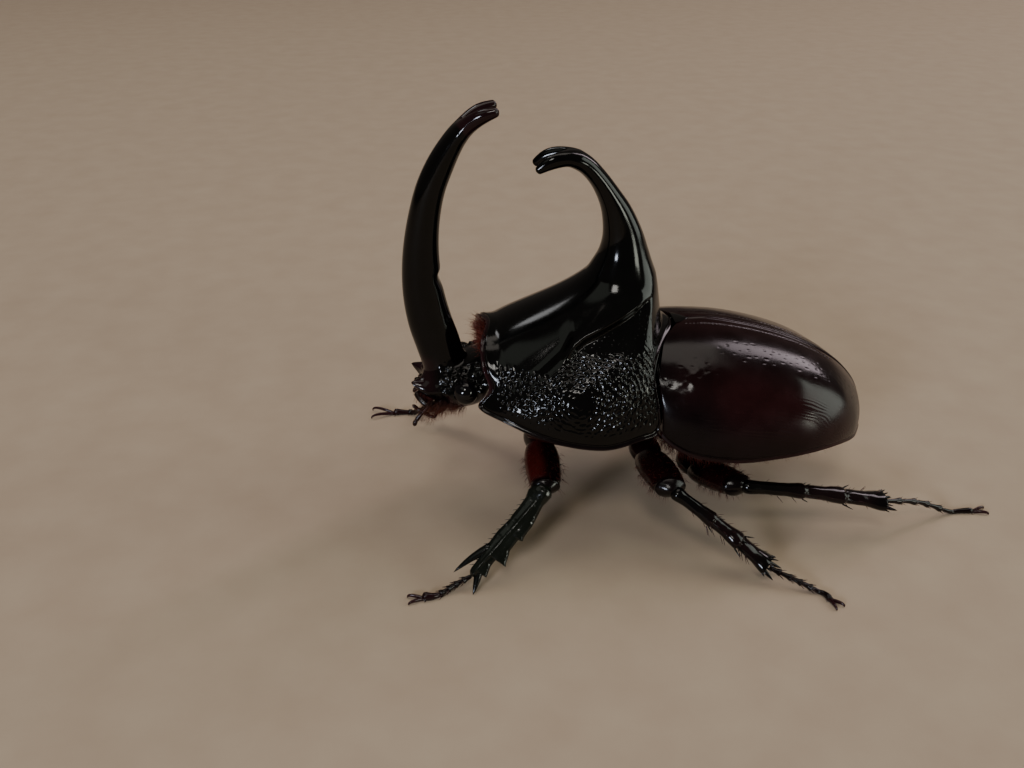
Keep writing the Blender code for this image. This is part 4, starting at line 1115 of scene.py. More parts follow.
# %% Leg places
# toes are points along the foot, blade is the way that a digging shin's teeth point, and tip_lean
# is how far its last tooth leans along the shin.
LEGS = {
    "fore_left": dict(
        hip=(2.6, -4.4, 9.2),
        knee=(2.4, -11.8, 8.0),
        ankle=(-5.2, -16.3, 1.7),
        toes=[(-5.5, -16.4, 1.3), (-7.1, -16.9, 0.75), (-9.2, -17.9, 0.16), (-10.2, -18.0, 0.12)],
        claw=1.7,
        blade=(0.62, -0.60, -0.50),
        tip_lean=1.8,
    ),
    "fore_right": dict(
        hip=(2.6, 4.4, 9.2),
        knee=(-1.6, 11.4, 8.4),
        ankle=(-9.0, 16.2, 2.4),
        toes=[(-9.3, 16.5, 2.0), (-10.6, 18.0, 0.95), (-11.6, 19.0, 0.22), (-13.6, 19.1, 0.12)],
        claw=3.2,
        blade=(0.30, 0.75, -0.56),
        tip_lean=0.5,
    ),
    "mid_left": dict(
        hip=(14.4, -4.2, 6.9),
        knee=(15.1, -12.9, 8.0),
        ankle=(24.1, -17.6, 1.7),
        toes=[(24.4, -17.8, 1.4), (26.9, -19.6, 0.9), (28.9, -20.6, 0.16), (29.4, -21.6, 0.12)],
        claw=1.5,
    ),
    "mid_right": dict(
        hip=(14.4, 4.2, 6.9),
        knee=(15.0, 13.0, 8.0),
        ankle=(21.6, 20.0, 1.7),
        toes=[(21.9, 20.3, 1.4), (23.6, 22.6, 0.9), (25.0, 24.4, 0.16), (25.7, 25.3, 0.12)],
        claw=1.5,
    ),
    "hind_left": dict(
        hip=(20.0, -4.2, 4.9),
        knee=(22.7, -11.4, 7.0),
        ankle=(38.4, -11.2, 4.1),
        toes=[(38.8, -11.1, 4.0), (43.6, -9.6, 2.5), (48.2, -8.6, 0.25), (50.6, -8.6, 0.12)],
        claw=1.7,
    ),
    "hind_right": dict(
        hip=(20.0, 4.2, 4.9),
        knee=(23.4, 11.8, 7.0),
        ankle=(31.6, 20.0, 3.0),
        toes=[(31.9, 20.3, 2.7), (34.3, 23.6, 1.3), (36.0, 26.6, 0.18), (36.6, 28.2, 0.12)],
        claw=1.7,
    ),
}
for place, leg in LEGS.items():
    leg["pair"], leg["side"] = place.split("_")
    for end in ("hip", "knee", "ankle"):
        leg[end] = np.array(leg[end])
for place, leg in LEGS.items():
    print(place, "shin", round(float(np.linalg.norm(leg["ankle"] - leg["knee"])), 1), "long")

# %% [markdown]
# ## Hips and thighs
# A hip is a smooth ball that turns in a socket of the breast, and only its outer end shows. A thigh
# is a flattened spindle, thickest in its first half. Its thin front side lets red through, so the
# tint of each point depends on how far forward it lies. The front thighs are red-brown; the hips and
# the mid and hind thighs keep a low tint, which is painted shade where they lie under the body.

# %% Hips and thighs
COXA = {"fore": (1.6, 2.4, 1.5), "mid": (1.7, 2.2, 1.3), "hind": (1.8, 2.6, 1.2)}
HIP_REACH = 1.2
HIP_SWELL = 1.03
THIGH = {"fore": (1.85, 1.2), "mid": (2.0, 1.25), "hind": (2.1, 1.3)}  # half width, half thickness
THIGH_SWELL = (0.65, 0.9, 1.0, 1.0, 0.95, 0.85, 0.62)
THIGH_LAP = 1.05                  # the thigh runs on into the knee by that share
THIGH_PIT_DEPTH = 0.025
# How red each pair's front side is: the front thighs' own red-brown, and a low value on the mid and hind
# thighs that is painted shade under the body.
THIGH_RED_AND_PAINTED_SHADE = {"fore": 0.93, "mid": 0.12, "hind": 0.12}


def thigh_shape(leg, rings, sides):
    """A flattened spindle from inside the hip to the knee."""
    wide, thick = THIGH[leg["pair"]]
    t = np.linspace(0, 1, rings)
    path = leg["hip"] + (leg["knee"] - leg["hip"]) * t[:, None] * THIGH_LAP
    swell = through([(v,) for v in THIGH_SWELL], t * (len(THIGH_SWELL) - 1))[:, 0]
    swell += 0.05 * hump(t - 0.93, 0.06) - 0.05 * hump(t - 0.84, 0.03)
    ends = blunt(t / 0.1, (1 - t) / 0.10, 0.002)
    return tube_grid(path, wide * swell * ends, thick * (0.25 + 0.75 * swell) * ends, UPWARD, sides)


for place, leg in LEGS.items():
    sign = dict(SIDES)[leg["side"]]
    radii = np.array(COXA[leg["pair"]]) * HIP_SWELL
    socket = ball_grid(leg["hip"] - (0, sign * HIP_REACH, 0), radii, rings=36, sides=48)
    socket = raised(socket, drift(socket, 1.2, 41) * 0.05)
    # The low tint of the hips is painted shade under the body.
    closed_piece(f"hip_{place}", socket, WINE, "black_chitin", (f"coxa_{place}",), tint=0.08)
    thigh = thigh_shape(leg, rings=70, sides=48)
    thigh = raised(thigh, -THIGH_PIT_DEPTH * even_pits(thigh, share=0.5, radius=0.13, seed=43))
    share = np.linspace(0, 1, len(thigh))[:, None]
    back = ramp(thigh[..., 0] - thigh[..., 0].mean(axis=1, keepdims=True), -0.7, 0.5)
    # Red on the front side, kept low on the mid and hind thighs as painted shade, and none near the knee.
    red = (1 - ramp(share, 0.78, 0.88)) * (0.05 + THIGH_RED_AND_PAINTED_SHADE[leg["pair"]] * (1 - back))
    closed_piece(f"thigh_{place}", thigh, WINE, "wine_chitin", (f"femur_{place}",), tint=red)

# %% [markdown]
# ## Digging shins
# The front shins are spades: flat, with three teeth on the outer edge, one at the end, and a long
# movable spur inside. A boolean could cut the teeth, but then the edge would have no thickness that
# fades out, so the two edges are read from rows and the section between them is a lens.

# %% Digging shins
# Along the shin in millimetres from the knee, then the distance out to its edge.
BLADE_OUTER = np.array([
    (-0.6, 0.15), (-0.4, 0.55), (0.2, 0.9), (1.4, 0.85), (2.6, 1.1), (3.8, 1.4), (5.0, 1.45), (5.6, 1.62),
    (5.8, 1.22), (7.2, 1.3), (8.3, 1.82), (8.7, 2.05), (8.85, 0.85), (9.6, 0.85), (10.4, 1.15),
    (10.8, 1.32), (10.95, 0.5), (11.7, 0.5),
])
BLADE_INNER = np.array([
    (-0.6, 0.15), (-0.4, 0.7), (0.3, 1.25), (1.1, 1.4), (2.0, 1.05), (3.1, 0.95), (4.8, 0.85), (6.5, 0.95),
    (8.0, 0.85), (9.3, 0.6), (11.0, 0.5), (11.7, 0.35),
])
BLADE_DEEP = np.array([(-0.6, 0.75), (0.4, 0.85), (1.6, 0.62), (4.0, 0.52), (9.0, 0.48), (11.7, 0.40)])
BLADE_START, BLADE_END = -0.6, 11.7
BLADE_LENGTH = 11.2
CARINA = 0.16
TIP_TOOTH_AT, SPUR_AT = 10.7, 8.1    # along the shin, as in the rows
BLADE_BRISTLES = 14


def blade_grid(leg, way, edge, face_way, scale):
    """Rings along the blade, with a low keel on either face."""
    along = np.linspace(BLADE_START, BLADE_END, 230)
    ends = blunt((along + 0.62) / 0.6, (11.72 - along) / 0.35, 0.01)
    turn = np.linspace(0, 2 * math.pi, 56, endpoint=False)[None]
    outer = np.interp(along, *BLADE_OUTER.T)[:, None]
    inner = np.interp(along, *BLADE_INNER.T)[:, None]
    deep = np.interp(along, *BLADE_DEEP.T) * ends
    reach = np.cos(turn) * np.where(np.cos(turn) > 0, outer, inner) * ends[:, None]
    lift = squared(np.sin(turn), 0.8) * deep[:, None]
    lift += np.sign(lift) * CARINA * hump(reach - 0.1, 0.16) * ramp(along, 1.0, 2.5)[:, None]
    middle = leg["knee"] + way * (along * scale)[:, None, None]
    return middle + reach[..., None] * edge + lift[..., None] * face_way


def fore_shin(shell, leg, seed):
    """The blade, the tooth at its end, its spur and the bristles of its inner edge."""
    knee = leg["knee"]
    way = unit(leg["ankle"] - knee)
    edge = unit(np.array(leg["blade"]) - way * np.dot(leg["blade"], way))
    face_way = np.cross(way, edge)
    scale = np.linalg.norm(leg["ankle"] - knee) / BLADE_LENGTH
    grid = blade_grid(leg, way, edge, face_way, scale)
    out = drift(grid, 0.8, seed) * 0.014 - even_pits(grid, share=0.05, radius=0.2, seed=seed) * 0.03
    # Tint 0.25 mixes in the greenish colour that paints a reflection on the blade.
    shell.grid(raised(grid, out), start=True, end=True, tint=0.25)
    tip = knee + way * TIP_TOOTH_AT * scale + edge * 0.25
    spine(shell, tip, edge + way * leg["tip_lean"], length=2.35, radius=0.42, sides=16,
          curl=way * 0.06, flat=0.8, up=face_way)
    root = knee + way * SPUR_AT * scale - edge * 0.4
    spine(shell, root, way - edge * 0.42, length=4.3, radius=0.48, sides=18,
          curl=way * 0.10 + edge * 0.12, flat=0.9)
    for at in np.linspace(2.0, 10.5, BLADE_BRISTLES):
        root = knee + way * at * scale - edge * np.interp(at, *BLADE_INNER.T) * 0.8
        spine(shell, root, way - edge * 0.9, length=0.7, radius=0.035, sides=5, tint=0.8)


print("blade", BLADE_LENGTH, "long with", BLADE_BRISTLES, "bristles")

# %% [markdown]
# ## Walking shins
# The other shins are round and widen to a crown of spines. Two slanting combs of spines cross the
# side on the way, each on a step of the shin. Spines and bristles differ a little in length and turn,
# drawn with a seed for each leg, as an array modifier's copies never would.

# %% Sizes of the walking shins
# Half width at the knee and before the crown, then the depth that it keeps.
SHIN_SIZE = {"mid": (0.65, 1.075, 0.75), "hind": (0.65, 1.161, 0.8)}
COMB_TURN = 2.0
# Each comb: where it sits along the shin, how many spines, their length and radius.
COMBS = ((0.42, 5, 0.9, 0.07), (0.70, 6, 1.1, 0.09), (0.985, 9, 0.8, 0.11))
SHIN_BRISTLES = 34
SPUR_LENGTHS = ((1, 1.9), (-1, 2.5))
SHIN_SIDES = 48


def shin_step(t, at, back, drop):
    """A swelling that rises slowly and falls off sharply past its comb of spines."""
    return ramp(t, at - back, at) * (1 - ramp(t, at, at + drop))


print("combs of", [count for _, count, _, _ in COMBS], "spines")

# %% The walking shin
BOW = 0.22                        # how far a shin bows up


def walking_shin(shell, leg, seed):
    """A round shin with its combs, bristles and two spurs."""
    rng = np.random.default_rng(seed)
    knee, ankle = leg["knee"], leg["ankle"]
    way = unit(ankle - knee)
    side, top = axes_of(way)
    start, end, thick = SHIN_SIZE[leg["pair"]]
    t = np.linspace(0, 1, 150)
    path = knee + (ankle - knee) * t[:, None] + np.array(UPWARD) * (np.sin(math.pi * t) * BOW)[:, None]
    rounded = np.sqrt(np.clip(1 - ((0.05 - t) / 0.05).clip(0, 1) ** 2, 0.02, 1))
    step = 0.16 * shin_step(t, 0.42, 0.12, 0.03) + 0.22 * shin_step(t, 0.70, 0.14, 0.03)
    step += 0.30 * ramp(t, 0.86, 1.0) + 0.12 * hump(t - 0.06, 0.05)
    wide = (start + (end - start) * t**1.4 + step) * rounded
    deep = (np.interp(t, (0, 0.15, 1), (start, thick * 0.85, thick * 0.85)) + step * 0.7) * rounded
    grid = tube_grid(path, wide, deep, UPWARD, SHIN_SIDES)
    grid = raised(grid, drift(grid, 0.6, seed) * 0.015)
    tint = 0.15 * ramp(t, 0.2, 0.5) * (1 - ramp(t, 0.8, 1.0))
    shell.grid(grid, start=True, end=True, tint=tint[:, None])

    def skin_at(at, turn):
        """From the middle of the shin to its skin."""
        across = side * math.sin(turn) * np.interp(at, t, wide)
        return across + top * math.cos(turn) * np.interp(at, t, deep)

    for at, count, length, size in COMBS:
        middle = knee + (ankle - knee) * at
        for turn in np.linspace(-COMB_TURN, COMB_TURN, count) + rng.normal(0, 0.06, count):
            out_way = skin_at(at, turn)
            lean = way * 1.4 + unit(out_way) * 0.8
            long = length * rng.uniform(0.75, 1.2)
            spine(shell, middle + out_way * 0.85, lean, long, size, sides=6)
    for at in rng.uniform(0.15, 0.95, SHIN_BRISTLES):
        out_way = skin_at(at, rng.uniform(0, 2 * math.pi))
        root = knee + (ankle - knee) * at + out_way * 0.9
        long = rng.uniform(0.6, 1.1)
        spine(shell, root, way + unit(out_way) * 0.9, long, radius=0.03, sides=4, tint=0.9)
    for sign, length in SPUR_LENGTHS:
        corner = ankle - way * 0.5 + side * sign * end * 0.55 - top * 0.15
        lean = way + side * sign * 0.36 - top * 0.08
        spine(shell, corner, lean, length, radius=0.27, sides=12, curl=top * 0.05)


print("a shin bows up by", BOW)

# %% All six shins
for k, (place, leg) in enumerate(LEGS.items()):
    shin = Shell()
    digs = leg["pair"] == "fore"
    if digs:
        fore_shin(shin, leg, 50 + k)
    else:
        walking_shin(shin, leg, 60 + k)
    shin.finish(f"shin_{place}", SHIN_FINISH if digs else BLACK, "black_chitin", (f"tibia_{place}",))

# %% [markdown]
# ## Feet
# A foot is five joints like beads, each narrow at its start and flared at its end with a few
# bristles, then a pair of curved claws. Feet lie on the floor, so every point is kept from going
# below it, which gives each foot its small flat.

# %% Joints of the foot
FOOT_SCALE = 1.25
FORE_LAST = 1.33                  # the last joint of a front foot is that much thicker
JOINT_SHARES = (0, 0.19, 0.17, 0.16, 0.16, 0.32)
JOINT_STOPS = (0, 0.12, 0.6, 0.9, 1)
JOINT_SIZES = (0.12, 0.17, 0.22, 0.32, 0.18)
LAST_SIZES = (0.11, 0.17, 0.22, 0.27, 0.16)
FOOT_BRISTLES = 8


def laid(grid):
    """The grid with nothing below the floor."""
    grid[..., 2] = np.maximum(grid[..., 2], 0.0)
    return grid


def foot_joint(shell, path, size, tint, rng):
    """One joint and the bristles round its end."""
    shell.grid(laid(tube_grid(path, size, size, UPWARD, 20)), start=True, end=True, tint=tint)
    way = unit(path[-1] - path[-2])
    side = unit(np.cross(way, UPWARD))
    for turn in np.linspace(0, 2 * math.pi, FOOT_BRISTLES, endpoint=False) + rng.uniform(0, 0.6):
        out_way = side * math.sin(turn) + np.array((0, 0, 1.0)) * math.cos(turn)
        root = path[-3] + out_way * size[-3] * 0.7
        if root[2] > 0.12:
            long = rng.uniform(0.4, 0.65)
            spine(shell, root, way + out_way * 0.5, long, radius=0.032, sides=4, tint=0.7)


print("five joints, the last of them the longest:", JOINT_SHARES[1:])

# %% Claws and whole feet
CLAW_RADIUS = 0.19


def claws(shell, start, way, long):
    """Two claws that spread and curve down to the floor."""
    side = np.cross(way, UPWARD)
    t = np.linspace(0, 1, 24)[:, None]
    size = CLAW_RADIUS * (1 - t[:, 0] ** 2) ** 0.7 + 0.02
    for sign in (1, -1):
        path = start + way * long * np.sin(t * 1.75) * 0.95 + side * sign * long * 0.34 * np.sin(t * 1.9)
        path = path + np.array((0, 0, 1.0)) * (0.30 * long * np.sin(math.pi * t) * 0.5 - 0.1 * t)
        grid = laid(tube_grid(path, size * 0.8, size, UPWARD, 14))
        shell.grid(grid, start=True, end=True, tint=0.55 + 0.4 * t)


def foot(shell, leg, seed):
    """Five joints and the claws along the toes' curve."""
    rng = np.random.default_rng(seed)
    fine = steady(leg["toes"], 200)
    run = run_along(fine)
    share = np.cumsum(JOINT_SHARES) * run[-1]
    t = np.linspace(0, 1, 22)
    for start, end in zip(share, share[1:]):
        last = end == share[-1]
        thicker = last and leg["pair"] == "fore"
        at = start + (end - start) * t * 1.04 - 0.02
        path = np.stack([np.interp(at, run, fine[:, c]) for c in range(3)], -1)
        size = np.interp(t, JOINT_STOPS, LAST_SIZES if last else JOINT_SIZES) * FOOT_SCALE
        if thicker:
            size = size * FORE_LAST
        path[:, 2] = np.maximum(path[:, 2], size * 0.9)
        foot_joint(shell, path, size, 0.35 if thicker else 0.1, rng)
    claws(shell, fine[-1], unit(fine[-1] - fine[-3]) * (1, 1, 0), leg["claw"])


for k, (place, leg) in enumerate(LEGS.items()):
    tarsus = Shell()
    foot(tarsus, leg, 80 + k)
    tarsus.finish(f"foot_{place}", BLACK, "black_chitin", (f"tarsus_{place}",))

# %% [markdown]
# ## Breast and belly
# The underside is wine-brown, pitted and hairy. The belly shows its rings where it stands out below
# the wing cases, and a last plate closes it behind. Each part of the trunk is a barrel whose rings
# are read from rows. Grooves between the rings of the belly are cut by relief, not by separate
# plates, because the real plates overlap by less than their thickness.

# %% Sizes of the trunk
# Along the trunk: x, half width, height of the top, of the widest place, and of the underside.
METATHORAX = [
    (14.4, 6.0, 17.2, 13.2, 9.4),
    (15.8, 8.0, 18.3, 12.8, 7.6),
    (17.6, 9.2, 19.2, 12.4, 6.2),
    (20.0, 10.1, 19.4, 11.9, 5.3),
    (23.3, 10.6, 19.0, 11.8, 5.1),
]
ABDOMEN = [
    (23.55, 10.6, 18.9, 11.8, 5.2),
    (27.0, 10.6, 18.0, 11.8, 5.3),
    (30.5, 9.9, 16.6, 11.8, 5.8),
    (33.4, 8.3, 15.0, 11.2, 6.4),
    (35.6, 6.1, 13.2, 10.5, 7.0),
]
PYGIDIUM = [
    (35.85, 5.7, 12.6, 10.3, 7.1),
    (37.0, 3.8, 11.6, 9.9, 7.4),
    (37.8, 2.0, 10.7, 9.5, 7.8),
    (38.1, 0.7, 10.0, 9.1, 8.3),
]
TRUNK_SIDES = 120
BACK, KEEL = 0.9, 1.25            # powers of the section: full above, nearly a keel below
BELLY_GROOVES = (24.6, 27.0, 29.3, 31.5, 33.6, 35.4)
GROOVE_DEPTH = 0.22
TRUNK_PIT_SHARE, TRUNK_PIT_RADIUS, TRUNK_PIT_DEPTH = 0.4, 0.16, 0.05
print("trunk from", METATHORAX[0][0], "to", PYGIDIUM[-1][0])

# %% Breast and belly
def trunk_grid(rows, rings, sides):
    """Rings of the trunk, with its full back and its keeled underside."""
    turn = np.linspace(0, 2 * math.pi, sides, endpoint=False)
    power = np.where(np.cos(turn) > 0, BACK, KEEL)
    loops = []
    for x, wide, top, middle, belly in steady(rows, rings):
        rise = np.where(np.cos(turn) > 0, top - middle, middle - belly)
        height = middle + squared(np.cos(turn), power) * rise
        loops.append(np.column_stack([np.full(sides, x), squared(np.sin(turn), power) * wide, height]))
    return np.array(loops)


def ringed(grid, places):
    """Grooves between the rings of the belly, which curve forward at the sides."""
    out = np.zeros(grid.shape[:2])
    for place in places:
        out -= GROOVE_DEPTH * hump(grid[..., 0] - place + 0.02 * grid[..., 1] ** 2, 0.16)
    return out


def trunk_pits(grid, seed):
    """The depth of the pits that cover the whole underside."""
    return even_pits(grid, TRUNK_PIT_SHARE, TRUNK_PIT_RADIUS, seed) * TRUNK_PIT_DEPTH


for name, rows, rings, grooves, surface, slot in (
    ("metathorax", METATHORAX, 60, (), WINE, "wine_chitin"),
    ("abdomen", ABDOMEN, 90, BELLY_GROOVES, BROWN, "brown_chitin"),
    ("pygidium", PYGIDIUM, 40, (), BROWN, "brown_chitin"),
):
    grid = trunk_grid(rows, rings, TRUNK_SIDES)
    grid = raised(grid, ringed(grid, grooves) - trunk_pits(grid, seed=71))
    # Tint rising towards the rear to the belly's own red-brown. The dark front of the hind breast, in the
    # gap between the shield and the wing cases and behind the mid hips, is painted shade.
    brown = 0.5 * ramp(grid[..., 0], 16.5, 24.0)
    closed_piece(f"{name}_skin", grid, surface, slot, (name,), tint=brown)

# %% [markdown]
# ## Membrane between front and hind body
# The front body turns on the hind body by a sleeve of soft skin, folded like a bellows. The solids
# keep a gap there, so without it light would fall through between the shield and the wing cases.
# It is a short barrel with even folds, and stands for no solid.

# %% Membrane
MEMBRANE = [
    (12.4, 6.6, 18.4, 13.6, 10.6),
    (13.4, 7.6, 18.9, 13.5, 9.9),
    (14.4, 8.0, 19.1, 13.3, 9.4),
    (15.4, 8.0, 18.6, 13.2, 9.2),
]
FOLD, FOLD_HEIGHT = 0.7, 0.08
grid = trunk_grid(MEMBRANE, 30, TRUNK_SIDES)
grid = raised(grid, FOLD_HEIGHT * np.sin(grid[..., 0] * 2 * math.pi / FOLD))
closed_piece("joint_membrane", grid, WINE, "wine_chitin")

# %% [markdown]
# ## Underside of the front body
# The shield folds under to a keeled breast between the front hips. It starts from the shield's own
# edge, drawn in a little so that it stays inside, and sinks ring by ring to one lowest point.

# %% Front breast
# Each ring: its size as a share of the edge, its share of the edge's height, and a height added.
BREAST = [(0.96, 0.7, 3.1), (0.70, 0.3, 7.3), (0.44, 0.1, 8.1), (0.2, 0.0, 8.5)]
BREAST_LOW = (5.6, 0.0, 8.3)
BREAST_SPAN = (0.6, 12.6)
BREAST_INSET = 0.88
BREAST_RINGS = 60
breast_edge = whole_edge(THORAX_EDGE, 90)[:, :3]
ceiling = np.where(breast_edge[:, 0] < BREAST_LOW[0], 14.6, 13.2)
low_edge = np.stack([
    np.clip(breast_edge[:, 0], *BREAST_SPAN),
    breast_edge[:, 1] * BREAST_INSET,
    np.minimum(breast_edge[:, 2], ceiling) - 0.45,
], -1)
breast_middle = np.array((BREAST_LOW[0], 0.0, 0.0))
keys = [low_edge]
for wide, share, low in BREAST:
    ring = breast_middle + (low_edge - breast_middle) * wide
    ring[:, 2] = low_edge[:, 2] * share + low
    keys.append(ring)
keys.append(BREAST_LOW + (low_edge - breast_middle) * (0.02, 0.02, 0.0))
flat = np.array([key.reshape(-1) for key in keys])
grid = steady(flat, BREAST_RINGS).reshape(BREAST_RINGS, -1, 3)
grid = raised(grid, -trunk_pits(grid, seed=73))
closed_piece("breast_skin", grid, WINE, "wine_chitin", ("prosternum",), tint=0.25)

# %% [markdown]
# ## Scutellum
# A small triangular plate fills the notch where the two wing cases meet behind the shield. It is a
# thin domed sheet folded over on itself, and the fold's two edges are welded to one.

# %% Scutellum
SCUTELLUM_LAP = 0.4
SCUTELLUM_TOP = 21.22
SCUTELLUM_THICK = 0.7
t = np.linspace(0, 1, 30)
outline_x = ELYTRON[0][0] - SCUTELLUM_LAP + (SCUTELLUM_LONG + SEAM) * t
half_width = SCUTELLUM_WIDE * (1 - t**1.6)
rows = []
for part in np.linspace(-1, 1, 30):
    dome = 0.06 * (1 - part**2) - 0.10 * t**2
    rows.append(np.stack([outline_x, half_width * part, SCUTELLUM_TOP + dome], -1))
plate_top = np.array(rows)
plate_base = plate_top - (0, 0, SCUTELLUM_THICK)
scutellum = Shell().grid(np.concatenate([plate_top, plate_base[::-1]]), closed=False)
scutellum.finish("scutellum_plate", BLACK, "black_chitin", ("scutellum",), weld=0.01)

# %% [markdown]
# ## Mouthparts
# Below the front plate sit two stout jaws, two jointed palps that taste, two feelers that end in a
# club, and the lower lip as a rounded plate between them. Each is a tube along a few places, and
# starts from a root inside the head, so that nothing hangs free.

# %% Sizes of the mouthparts
# Along a mouthpart: x, distance from the middle plane, height, half width and half depth. The first
# row of each is its root.
MANDIBLE = [
    (-7.2, 1.9, 13.2, 0.6, 0.4),
    (-8.0, 2.0, 12.5, 0.75, 0.45),
    (-9.0, 2.3, 13.2, 0.70, 0.45),
    (-9.8, 2.0, 13.8, 0.55, 0.38),
    (-10.4, 1.4, 14.3, 0.32, 0.28),
]
PALP = [
    (-8.0, 2.5, 13.0, 0.22, 0.22),
    (-8.5, 3.15, 12.2, 0.28, 0.28),
    (-9.3, 3.0, 12.4, 0.28, 0.28),
    (-10.1, 2.7, 12.8, 0.32, 0.32),
    (-10.8, 2.5, 13.35, 0.26, 0.26),
]
ANTENNA = [
    (-7.6, 2.9, 14.2, 0.2, 0.2),
    (-8.2, 3.1, 13.55, 0.28, 0.26),
    (-8.9, 3.3, 13.6, 0.28, 0.26),
    (-9.75, 3.5, 12.9, 0.28, 0.28),
    (-10.45, 3.65, 12.05, 0.36, 0.36),
    (-10.7, 3.75, 11.45, 0.28, 0.28),
]
# Each mouthpart: its rows, its tint, how slim it is, and how many joints pinch it.
MOUTH = {
    "mandible": (MANDIBLE, 0.1, 1.0, 0),
    "palp": (PALP, 0.4, 0.72, 5),
    "antenna": (ANTENNA, 0.2, 0.72, 5),
}
PINCH = 0.22
LABIUM = ((-6.4, 0.0, 12.2), (2.1, 1.3, 0.42))    # the lower lip: centre and radii
print("mouthparts", list(MOUTH))

# %% Mouthparts
t = np.linspace(0, 1, 60)
for name, (rows, tint, slim, joints) in MOUTH.items():
    pinched = 1 - PINCH * np.abs(np.cos(t * math.pi * joints)) ** 12 if joints else 1.0
    size = blunt(t / 0.05, (1 - t) / 0.05, 0.05) * pinched * slim
    for side, sign in SIDES:
        fine = steady(np.array(rows) * (1, sign, 1, 1, 1), len(t))
        grid = tube_grid(fine[:, :3], fine[:, 3] * size, fine[:, 4] * size, UPWARD, 24)
        closed_piece(f"{name}_{side}_fine", grid, BROWN, "brown_chitin", (f"{name}_{side}",), tint)
chin = ball_grid(*LABIUM, rings=30, sides=40)
closed_piece("chin_plate", chin, BROWN, "brown_chitin", ("labium",), tint=0.4)

# %% [markdown]
# ## Hair
# Stiff red-brown hair fringes the mouth, fills the gap behind the head, lines the thighs and covers
# the breast and the belly. Blender's own hair would vanish in the export, so each hair is a
# three-sided tapered tube of real faces. Hairs grow in tufts of a few, which lean together. Each tuft
# has its own small patch in the OFBake map, placed at its root on a plain unwrap of the skin: length
# along the body, and angle round it.

# %% Strands
LEVELS = 5
CORNERS = 3


def strands(root, way, long, radius, curl, rng):
    """Corner points of the hairs, by hair, level and corner, and how far along each level is."""
    count = len(root)
    bow = unit(rng.normal(0, 1, (count, 3)) * 0.4 + (0, 0, -0.6))
    side = unit(np.cross(way, rng.normal(size=(count, 3))))
    other = np.cross(way, side)
    t = np.linspace(0, 1, LEVELS)
    straight = way[:, None] * long[:, None, None] * t[None, :, None]
    middle = root[:, None] + straight + bow[:, None] * (long[:, None] * curl * t[None] ** 2)[..., None]
    thick = radius * (1 - t**1.5 * 0.9)
    corners = []
    for angle in 2 * math.pi * np.arange(CORNERS) / CORNERS:
        away = side * math.cos(angle) + other * math.sin(angle)
        corners.append(middle + away[:, None] * thick[None, :, None])
    return np.stack(corners, 2), t


def strand_faces(count):
    """Faces along the hairs, and a cap at both ends of each."""
    index = np.arange(count * LEVELS * CORNERS).reshape(count, LEVELS, CORNERS)
    following = np.roll(index, -1, 2)
    sides = (index[:, :-1], following[:, :-1], following[:, 1:], index[:, 1:])
    caps = np.concatenate([index[:, 0, ::-1], index[:, -1]])
    return list(np.stack(sides, -1).reshape(-1, 4)) + list(caps)


print("a hair has", LEVELS * CORNERS, "points")

# %% The bake map
PATCH = 0.003
UNWRAP_START, UNWRAP_LENGTH = -20.0, 80.0
UNWRAP_AXIS = 12.0                # height of the line that the unwrap's angle turns round


def bake_map(piece, roots, per_tuft, rng):
    """The OFBake map: each tuft a patch at its root's place on the unwrap."""
    along = (roots[:, 0] - UNWRAP_START) / UNWRAP_LENGTH
    round_body = (np.arctan2(roots[:, 1], roots[:, 2] - UNWRAP_AXIS) / (2 * math.pi)) % 1.0
    spots = np.stack([along, round_body], -1).clip(0.01, 0.98)
    spot = np.repeat(np.repeat(spots, per_tuft, axis=0), LEVELS * CORNERS, axis=0)
    spot = spot + rng.uniform(-0.5, 0.5, spot.shape) * PATCH
    layer = piece.data.uv_layers.new(name="OFBake")
    corner_points = np.empty(len(piece.data.loops), np.int32)
    piece.data.loops.foreach_get("vertex_index", corner_points)
    layer.data.foreach_set("uv", spot[corner_points].astype(np.float32).reshape(-1))


print("each tuft has a patch", PATCH, "wide in OFBake")

# %% Tufts
TUFT_SIZE = 0.25                  # how far the roots of a tuft lie apart
TUFT_SPREAD = 0.25                # how much its hairs differ in their lean
TUFT_DROOP = 0.25                 # how far they bend, as a share of their length


def coat(name, roots, ways, length, radius, surface, seed, per_tuft):
    """Tufts of hair at the roots, leaning along the ways and drooping at their tips."""
    rng = np.random.default_rng(seed)
    tufts = len(roots)
    count = tufts * per_tuft
    root = np.repeat(roots, per_tuft, axis=0) + rng.normal(0, TUFT_SIZE, (count, 3)) * 0.5
    way = unit(np.repeat(unit(ways), per_tuft, axis=0) + rng.normal(0, TUFT_SPREAD, (count, 3)))
    lengths = np.broadcast_to(np.asarray(length, float), (tufts,))
    long = np.repeat(lengths, per_tuft) * rng.uniform(0.55, 1.15, count)
    points, t = strands(root, way, long, radius, TUFT_DROOP, rng)
    tints = np.broadcast_to(t[None, :, None] ** 1.2, points.shape[:3])
    piece = Shell().add(points, strand_faces(count), tints).finish(name, surface, "brown_chitin")
    bake_map(piece, roots, per_tuft, rng)


def roots_on(grid, weight, gap, seed):
    """Roots spread over a grid, with the outward direction at each."""
    chosen = scatter(grid, weight, gap, seed)
    return grid.reshape(-1, 3)[chosen], outward(grid).reshape(-1, 3)[chosen]


print("hair stands in tufts about", TUFT_SIZE, "wide")

# %% [markdown]
# ## Hair of the mouth and neck
# The fringes of the mouth and neck root in folds that aren't modelled, so their roots are drawn in
# small boxes: golden-brown below the jaws, red under the front plate, and red behind the head.

